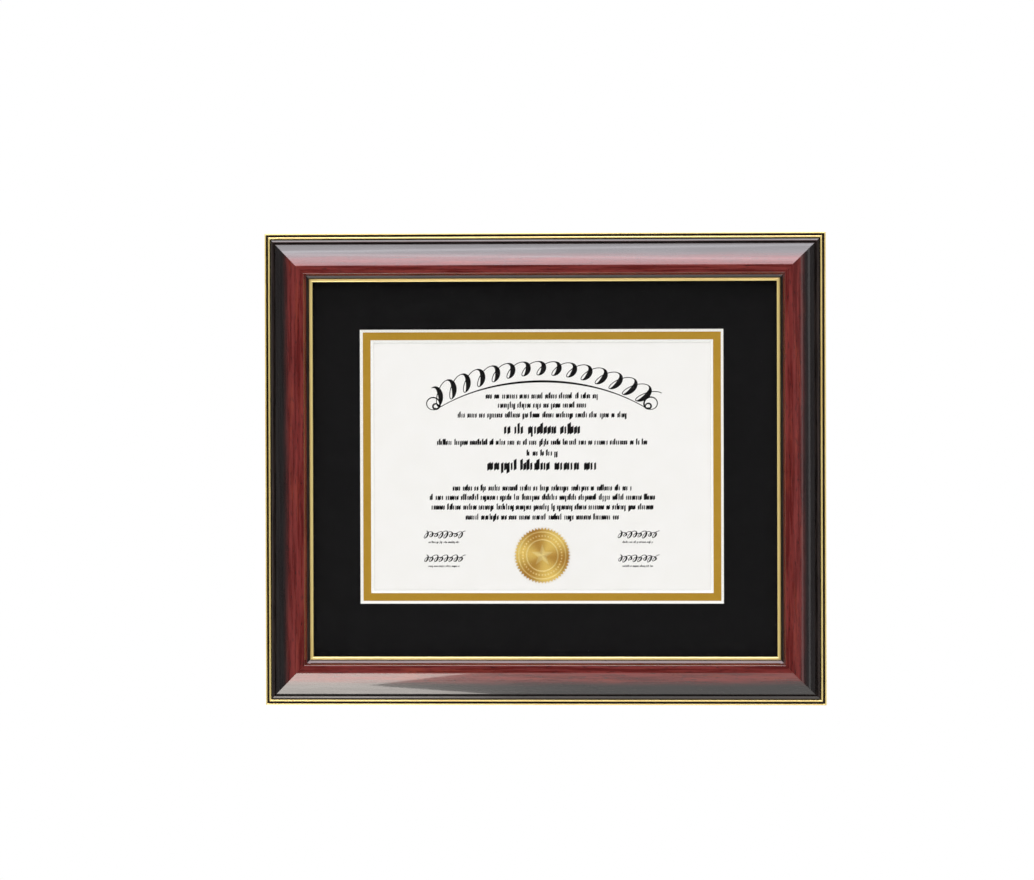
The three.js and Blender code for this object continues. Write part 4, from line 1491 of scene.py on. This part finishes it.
@dataclass
class Fittings:
    """Turn buttons with their screws, and the rubber bumpers.

    Attributes:
        top_span: Shares of the way from bore to rim between which the button's upper face has its rings.
        past_tip: Added to the tip's radius where the bow rises again.
        head: Radius and height of the screw's head.
        recess: Width, length and depth of the cross in it.
        recess_soft: Half the width of the slope at the cross's edge.
        hair: Radius at which the head is closed, and the share of the core that is left at the tip.
    """

    hub: float = 6.0
    tip: float = 3.6
    reach: float = 18.0
    bore: float = 1.75
    steel: float = 1.0
    bow: float = 0.6
    past_tip: float = 1.0
    edge_round: float = 0.25
    edge_points: int = 6
    top_span: Pair = (0.15, 0.85)
    top_rings: int = 9
    rear_rings: int = 11
    hub_points: int = 64
    arm_points: int = 18
    shank: float = 1.5
    shank_rings: int = 90
    thread: float = 0.32
    pitch: float = 1.25
    point: float = 2.5
    hair: float = 0.02
    head: Pair = (3.0, 1.8)
    rim_rings: int = 5
    dome_points: int = 14
    crown_rings: int = 34
    recess: Triple = (0.9, 3.6, 1.0)
    recess_soft: float = 0.06
    turns: int = 64
    bumper_round: float = 1.2
    bumper_points: int = 14
    bumper_chamfer: float = 0.2
    bumper_hub: float = 0.1
    dish: float = 0.12
    dish_rings: int = 12

    def outline(self) -> Array:
        """Draw the button: two arcs and the straight sides that touch both, with the arm towards -Z.

        Returns:
            Points in X and Z, once round.
        """
        lean = math.degrees(math.acos((self.hub - self.tip) / self.reach))
        hub = arc((0, 0), self.hub, lean - 90, 270 - lean, self.hub_points)
        tip = arc((0, -self.reach), self.tip, 270 - lean, 270 + lean, self.hub_points // 2)
        share = np.linspace(0, 1, self.arm_points)[1:-1, None]
        sides = [start + share * (stop - start) for start, stop in ((hub[-1], tip[0]), (tip[-1], hub[0]))]
        return np.concatenate([hub, sides[0], tip, sides[1]])

    def button(self, pivot: Array, arm: Array, seat: float) -> Surface:
        """Stamp a turn button from sheet steel.

        Rings run from the bore over the top to the rim and back below: a point is bore + s (rim - bore),
        with rounded edges at both. The arm rises by 4 bow t (1 - t) between hub and tip and again past it.

        Args:
            pivot: X and Z of its screw.
            arm: Unit vector along its arm.
            seat: Y of the face that lies on the rail.

        Returns:
            The button.
        """
        rim = self.outline()
        bore = self.bore * rim / np.linalg.norm(rim, axis=1, keepdims=True)
        span = np.linalg.norm(rim - bore, axis=1, keepdims=True)
        ease = np.radians(np.linspace(0, 90, self.edge_points))
        soft, steel = self.edge_round, self.steel
        inner = [(soft * (1 - math.cos(a)), steel - soft * (1 - math.sin(a)), 0) for a in ease]
        top = [(0.0, steel, s) for s in np.linspace(*self.top_span, self.top_rings)]
        outer = [(-soft * (1 - math.sin(a)), steel - soft * (1 - math.cos(a)), 1) for a in ease]
        below = [(0.0, 0.0, s) for s in np.linspace(1.0, 0.0, self.rear_rings)]
        rings = []
        for shift, level, share in inner + top + outer + below:
            flat = bore + (rim - bore) * (share + shift / span)
            travel = -flat[:, 1]
            t = np.clip((travel - self.hub) / (self.reach - self.hub), 0, 1)
            past = np.clip(travel - self.reach, 0, None) / (self.tip + self.past_tip)
            rise = 4 * self.bow * t * (1 - t) + self.bow * past
            rings.append(np.stack([flat[:, 0], seat + level + rise, flat[:, 1]], -1))
        shape = np.stack(rings)
        across = np.array([-arm[1], arm[0]])
        plan = pivot + shape[..., :1] * across - shape[..., 2:] * arm
        placed = np.stack([plan[..., 0], shape[..., 1], plan[..., 1]], -1)
        return Surface(placed.reshape(-1, 3), tube_quads(len(rings), len(rim), closed=True))

    def screw(self, node: str) -> Surface:
        """Turn a pan-head screw with a thread and a cross recess.

        The radius follows the profile, with a helical ridge 0.5 + 0.5 cos(2 pi y / pitch - a) on the shank.
        The head's dome sinks by the recess depth where the point lies inside either bar of the cross.

        Args:
            node: The solid that it stands for.

        Returns:
            The screw.
        """
        low, high = box_of(node)
        middle = centre_of(node)
        head, height = self.head
        length = high[1] - low[1] - height
        shank_y = np.linspace(-length, -self.hair, self.shank_rings)
        taper = (shank_y + length) / self.point
        core = np.clip(taper, self.hair, 1) * (self.shank - self.thread)
        rim_y = np.linspace(0, height / 2, self.rim_rings)
        dome = bezier([(head, height / 2), (head, height), (head / 2, height)], self.dome_points)[1:]
        crown = np.linspace(head / 2, self.hair, self.crown_rings)[1:]
        radius = np.concatenate([core, np.full(len(rim_y), head), dome[:, 0], crown])
        along = np.concatenate([shank_y, rim_y, dome[:, 1], np.full(len(crown), height)])
        rings, angle = turned(radius, along, self.turns)
        ridge = 0.5 + 0.5 * np.cos(2 * np.pi * shank_y[:, None] / self.pitch - angle)
        ridge *= self.thread * np.clip(taper[:, None], 0, 1)
        rings[: len(shank_y), :, 0] += ridge * np.sin(angle)
        rings[: len(shank_y), :, 2] += ridge * np.cos(angle)
        width, reach, depth = self.recess
        x, z = np.abs(rings[..., 0]), np.abs(rings[..., 2])
        bars = [np.minimum(width / 2 - x, reach / 2 - z), np.minimum(width / 2 - z, reach / 2 - x)]
        sunk = depth * smooth(np.maximum(*bars), -self.recess_soft, self.recess_soft)
        on_top = (np.arange(len(radius)) > len(shank_y) + len(rim_y))[:, None]
        rings[..., 1] -= np.where(on_top, sunk, 0)
        rings += np.array([middle[0], high[1] - height, middle[1]])
        return capped_tube(rings)

    def bumper(self, node: str) -> Surface:
        """Mould a rubber foot: a short cylinder with a rounded rim and a face dished by a parabola.

        Args:
            node: The solid that it stands for.

        Returns:
            The bumper.
        """
        low, high = box_of(node)
        middle = centre_of(node)
        radius, height = (high - low)[2] / 2, high[1] - low[1]
        soft, chamfer, hub = self.bumper_round, self.bumper_chamfer, self.bumper_hub
        inner = radius - soft
        rim = arc((inner, height - soft), soft, 0, 90, self.bumper_points)
        face = np.linspace(inner, hub, self.dish_rings)[1:]
        dished = height - self.dish * (1 - (face / inner) ** 2)
        around = np.concatenate([[hub, radius - chamfer, radius], rim[:, 0], face])
        along = np.concatenate([[0.0, 0.0, chamfer], rim[:, 1], dished])
        rings, _ = turned(around, along, self.turns)
        return capped_tube(rings + np.array([middle[0], low[1], middle[1]]))

    def build(self) -> None:
        """Make and dress the buttons, screws and bumpers."""
        sides = {side.name.lower(): side for side in Side}
        for joint in frame["joints"]:
            place = joint["child"].removeprefix("button_")
            arm = -sides[place.split("_")[0]].outward
            pivot = np.array(joint["pos_m"])[PLAN] / MM
            node = f"turn_button_{place}"
            shape = self.button(pivot, arm, box_of(node)[0][1])
            add_piece(f"latch_{place}", shape, [Palette.button], [node], joint["child"])
            node = f"turn_screw_{place}"
            add_piece(f"pan_screw_{place}", self.screw(node), [Palette.screw], [node])
        for end in ("left", "right"):
            node = f"bumper_{end}"
            add_piece(f"foot_{end}", self.bumper(node), [Palette.rubber], [node])


@dataclass
class Sheets:
    """Solids whose shape is already right: they stay and get their finishes."""

    finishes: Mapping[str, Finish] = field(
        default_factory=lambda: {
            "glazing": Palette.glass,
            "diploma": Palette.paper,
            "document_corner": Palette.film,
            "backing_board": Palette.foam,
            "back_panel": Palette.hardboard,
            "sawtooth_hanger": Palette.hanger,
            "hanger_brad": Palette.nail,
        }
    )

    def build(self) -> None:
        """Dress each solid whose name starts as a finish is listed."""
        for name, solid in frame["nodes"].items():
            for start, finish in self.finishes.items():
                if name.startswith(start):
                    solid.data.materials.clear()
                    solid.data.materials.append(finish.material())
                    LOG.info("%s: %s", name, finish.name)


class Role(Enum):
    """What a lamp does: light the object, or show in its polish as a card too small to light it."""

    LIGHT = "light"
    GLOSS = "gloss"


@dataclass
class Lamp:
    """A soft lamp.

    Attributes:
        name: Its name.
        place: Where its middle is, in metres.
        aim: The point that it faces, in metres.
        size: Its width and height in metres.
        radiance: Its brightness, where 1 is white.
        tone: Its colour.
        role: What it does.
    """

    name: str
    place: Triple
    aim: Triple
    size: Pair
    radiance: float
    tone: str = "#ffffff"
    role: Role = Role.GLOSS

    def pattern(self, tree: Tree, across: Socket, up: Socket) -> Socket | float:
        """Leave the diffuser even.

        Args:
            tree: The lamp's node tree.
            across: Place across the diffuser from 0 to 1.
            up: Place up the diffuser from 0 to 1.

        Returns:
            The share of the brightness that shows at each place.
        """
        return 1.0

    def build(self) -> None:
        """Hang the lamp, point it and paint its diffuser."""
        data = bpy.data.lights.new(self.name, "AREA")
        data.shape = "RECTANGLE"
        data.size, data.size_y = self.size
        data.color = linear(self.tone)[:3]
        data.energy = self.radiance * math.pi * self.size[0] * self.size[1]
        data.use_nodes = True
        tree = data.node_tree
        place = add_node(tree, "NewGeometry", output="Parametric")
        axes = add_node(tree, "SeparateXYZ", [place]).node.outputs
        set_inputs(tree, tree.nodes["Emission"], {"Strength": self.pattern(tree, axes["X"], axes["Y"])})
        lamp = bpy.data.objects.new(self.name, data)
        lamp.location = self.place
        lamp.rotation_euler = (Vector(self.aim) - Vector(self.place)).to_track_quat("-Z", "Y").to_euler()
        lamp.visible_camera = False
        lamp.visible_diffuse = self.role is Role.LIGHT
        lamp.visible_glossy = self.role is Role.GLOSS
        lamp.visible_transmission = self.role is Role.GLOSS
        bpy.context.scene.collection.objects.link(lamp)


@dataclass
class Softbox(Lamp):
    """A softbox with its tubes showing through the cloth as brighter slanting lines.

    Attributes:
        tubes: Each line's added brightness, height at the middle of the box, rise across and width.
        edge: Brightness of the upper and lower edge, where the middle is 1.
    """

    tubes: tuple[tuple[float, ...], ...] = ((0.6, 0.735, 1.17, 0.035), (0.4, 0.46, -1.6, 0.04))
    edge: float = 0.2

    def pattern(self, tree: Tree, across: Socket, up: Socket) -> Socket:
        """Fade the cloth towards its edges as 4 v (1 - v) and add each line as exp(-(distance / width)^2).

        Args:
            tree: The lamp's node tree.
            across: Place across the diffuser from 0 to 1.
            up: Place up the diffuser from 0 to 1.

        Returns:
            The share of the brightness that shows at each place.
        """
        down = add_node(tree, "Math", [1.0, up], operation="SUBTRACT")
        middle = add_node(tree, "Math", [up, down], operation="MULTIPLY")
        shine = add_node(tree, "Math", [middle, 4 * (1 - self.edge), self.edge], operation="MULTIPLY_ADD")
        for bright, height, rise, width in self.tubes:
            line = add_node(tree, "Math", [across, rise, height - rise / 2], operation="MULTIPLY_ADD")
            off = add_node(tree, "Math", [up, line], operation="SUBTRACT")
            share = add_node(tree, "Math", [off, width], operation="DIVIDE")
            square = add_node(tree, "Math", [share, share], operation="MULTIPLY")
            fall = add_node(tree, "Math", [square, -1.0], operation="MULTIPLY")
            glow = add_node(tree, "Math", [fall], operation="EXPONENT")
            shine = add_node(tree, "Math", [glow, bright, shine], operation="MULTIPLY_ADD")
        return shine


@dataclass
class NotchedCard(Lamp):
    """A bounce card with a V-shaped notch in its right edge.

    Attributes:
        apex: The notch's tip, from 0 to 1 across and up.
        slopes: Rise of its upper and fall of its lower edge for each step across.
        soft: Width of its blurred edge.
    """

    apex: Pair = (0.653, 0.4)
    slopes: Pair = (1.7, 0.9)
    soft: float = 0.012

    def pattern(self, tree: Tree, across: Socket, up: Socket) -> Socket:
        """Darken the notch: the steeper of both edges tells how far across it has opened at each height.

        Args:
            tree: The lamp's node tree.
            across: Place across the diffuser from 0 to 1.
            up: Place up the diffuser from 0 to 1.

        Returns:
            The share of the brightness that shows at each place.
        """
        above = add_node(tree, "Math", [up, self.apex[1]], operation="SUBTRACT")
        upper = add_node(tree, "Math", [above, self.slopes[0]], operation="DIVIDE")
        lower = add_node(tree, "Math", [above, -self.slopes[1]], operation="DIVIDE")
        edge = add_node(tree, "Math", [upper, lower], operation="MAXIMUM")
        into = add_node(tree, "Math", [across, self.apex[0]], operation="SUBTRACT")
        left = add_node(tree, "Math", [edge, into], operation="SUBTRACT")
        return add_node(tree, "MapRange", [left, -self.soft, self.soft], **EASED)


@dataclass
class Studio:
    """Floor, light, background and camera, in metres and degrees.

    Attributes:
        floor_drop: How far the floor lies below the frame.
        floor_size: Half the floor's side.
        ambient: Brightness of the even light from all round.
        room: Brightness of the room before the frame in mirrored rays, where the tent behind it is 1.
        walls: Y of the directions between which the tent fades into the room.
        flag: Y of the directions between which the dark flag by the camera fades out.
        flag_share: What the flag leaves of the room's brightness.
        azimuth: The camera's turn to the right.
        elevation: Its angle above the frame's middle.
        roll: Its tilt.
        distance: Its distance from the frame's middle.
        lens: Its focal length in millimetres, on a sensor of this width.
        sensor: The sensor's width in millimetres.
        far: How far the camera sees.
        aim_shift: The point that it faces, to the right and up from the frame's middle.
        lamps: The lamps.
    """

    floor_drop: float = 0.5
    floor_size: float = 1.6
    ambient: float = 1.0
    room: float = 0.07
    walls: Pair = (-0.5, 0.1)
    flag: Pair = (-0.97, -0.88)
    flag_share: float = 0.15
    azimuth: float = 4.22
    elevation: float = 0.96
    roll: float = -0.16
    distance: float = 6.0
    lens: float = 266.4
    sensor: float = 36.0
    far: float = 50.0
    aim_shift: Pair = (-0.022, 0.0228)
    lamps: tuple[Lamp, ...] = (
        Lamp("key_above", (-0.37, -3.7, 3.9), (-0.37, 0.0, 0.0), (5.4, 2.4), 1.35, role=Role.LIGHT),
        Softbox("softbox_above", (-0.37, -3.24, 3.75), (-0.37, 0.0, 0.0), (5.0, 2.2), 4.9, "#fbf8ff"),
        Softbox(
            "wall_warm",
            (-0.2, -2.846, 2.563),
            (-0.2, 0.0, 0.0),
            (5.0, 1.42),
            1.05,
            "#ff5a60",
            tubes=(),
            edge=0.0,
        ),
        Lamp("panel_overhead", (0.0, -0.47, 2.5), (0.0, -0.02, -0.165), (4.0, 1.8), 3.9),
        NotchedCard(
            "card_below", (-0.242, -0.367, -0.761), (-0.242, -0.017, -0.337), (0.33, 0.26), 5.2, "#fff6ee"
        ),
        Lamp("strip_right_far", (2.03, -1.46, -0.165), (0.0, 0.0, -0.165), (0.06, 3.0), 0.95),
        Lamp("strip_right_near", (1.88, -1.655, -0.165), (0.0, 0.0, -0.165), (0.06, 3.0), 0.95),
    )

    def build(self) -> None:
        """Set up the whole studio."""
        low, high = CAD_BOX
        self.build_floor(low.z - self.floor_drop)
        self.build_world()
        for lamp in self.lamps:
            lamp.build()
        self.build_camera((low + high) / 2)
        bpy.context.scene.view_settings.view_transform = "Standard"

    def build_floor(self, level: float) -> None:
        """Lay a pale floor below the frame.

        Args:
            level: Its height.
        """
        corners = np.array([(-1, -1), (1, -1), (1, 1), (-1, 1)]) * self.floor_size
        mesh = bpy.data.meshes.new("studio_floor")
        mesh.from_pydata(np.insert(corners, 2, level, axis=-1).tolist(), [], [(0, 1, 2, 3)])
        mesh.materials.append(Palette.floor.material())
        floor = bpy.data.objects.new("studio_floor", mesh)
        bpy.context.scene.collection.objects.link(floor)

    def build_world(self) -> None:
        """Make a white tent behind the frame, a dim room before it and an even light from all round.

        Mirrored rays see the tent's walls fade towards the camera, where a dark flag hangs.
        """
        world = bpy.data.worlds.new("studio")
        bpy.context.scene.world = world
        world.use_nodes = True
        tree = world.node_tree
        path = add_node(tree, "LightPath").node.outputs
        direction = add_node(tree, "TexCoord", output="Generated")
        ahead = add_node(tree, "SeparateXYZ", [direction], "Y")
        walls = add_node(tree, "MapRange", [ahead, *self.walls, self.room, 1.0], **EASED)
        flag = add_node(tree, "MapRange", [ahead, *self.flag, self.flag_share, 1.0], **EASED)
        seen = add_node(tree, "Math", [walls, flag], operation="MULTIPLY")
        rays = [path["Is Glossy Ray"], path["Is Transmission Ray"]]
        mirrored = add_node(tree, "Math", rays, operation="MAXIMUM")
        level = add_node(tree, "Mix", {"Factor": mirrored, "A": self.ambient, "B": seen})
        strength = add_node(tree, "Mix", {"Factor": path["Is Camera Ray"], "A": level, "B": 1.0})
        inputs = {"Color": linear("#ffffff"), "Strength": strength}
        set_inputs(tree, tree.nodes["Background"], inputs)

    def build_camera(self, centre: Vector) -> None:
        """Stand the camera where the photograph was taken from, with a long lens.

        Args:
            centre: The frame's middle.
        """
        across, up = math.radians(self.azimuth), math.radians(self.elevation)
        away = Vector((math.sin(across) * math.cos(up), -math.cos(across) * math.cos(up), math.sin(up)))
        right = Vector((math.cos(across), math.sin(across), 0.0))
        target = centre + self.aim_shift[0] * right + self.aim_shift[1] * away.cross(right).normalized()
        data = bpy.data.cameras.new("photograph")
        data.lens = self.lens
        data.sensor_width = self.sensor
        data.clip_end = self.far
        camera = bpy.data.objects.new("photograph", data)
        camera.location = centre + self.distance * away
        tilt = Quaternion((0.0, 0.0, 1.0), math.radians(self.roll))
        aimed = (target - camera.location).to_track_quat("-Z", "Y")
        camera.rotation_euler = (aimed @ tilt).to_euler()
        bpy.context.scene.collection.objects.link(camera)
        bpy.context.scene.camera = camera


def main() -> None:
    logging.basicConfig(level=logging.INFO, format="%(name)s: %(message)s")
    Moulding().build()
    Mat("outer_mat", "mat_black", "black_mat", Palette.black_paper, window=(281.4, 210.8)).build()
    Mat("inner_mat", "mat_gold", "gold_mat", Palette.gold_paper, window=(265.0, 194.4)).build()
    Certificate().build()
    Fittings().build()
    Sheets().build()
    Studio().build()


if __name__ == "__main__":
    main()
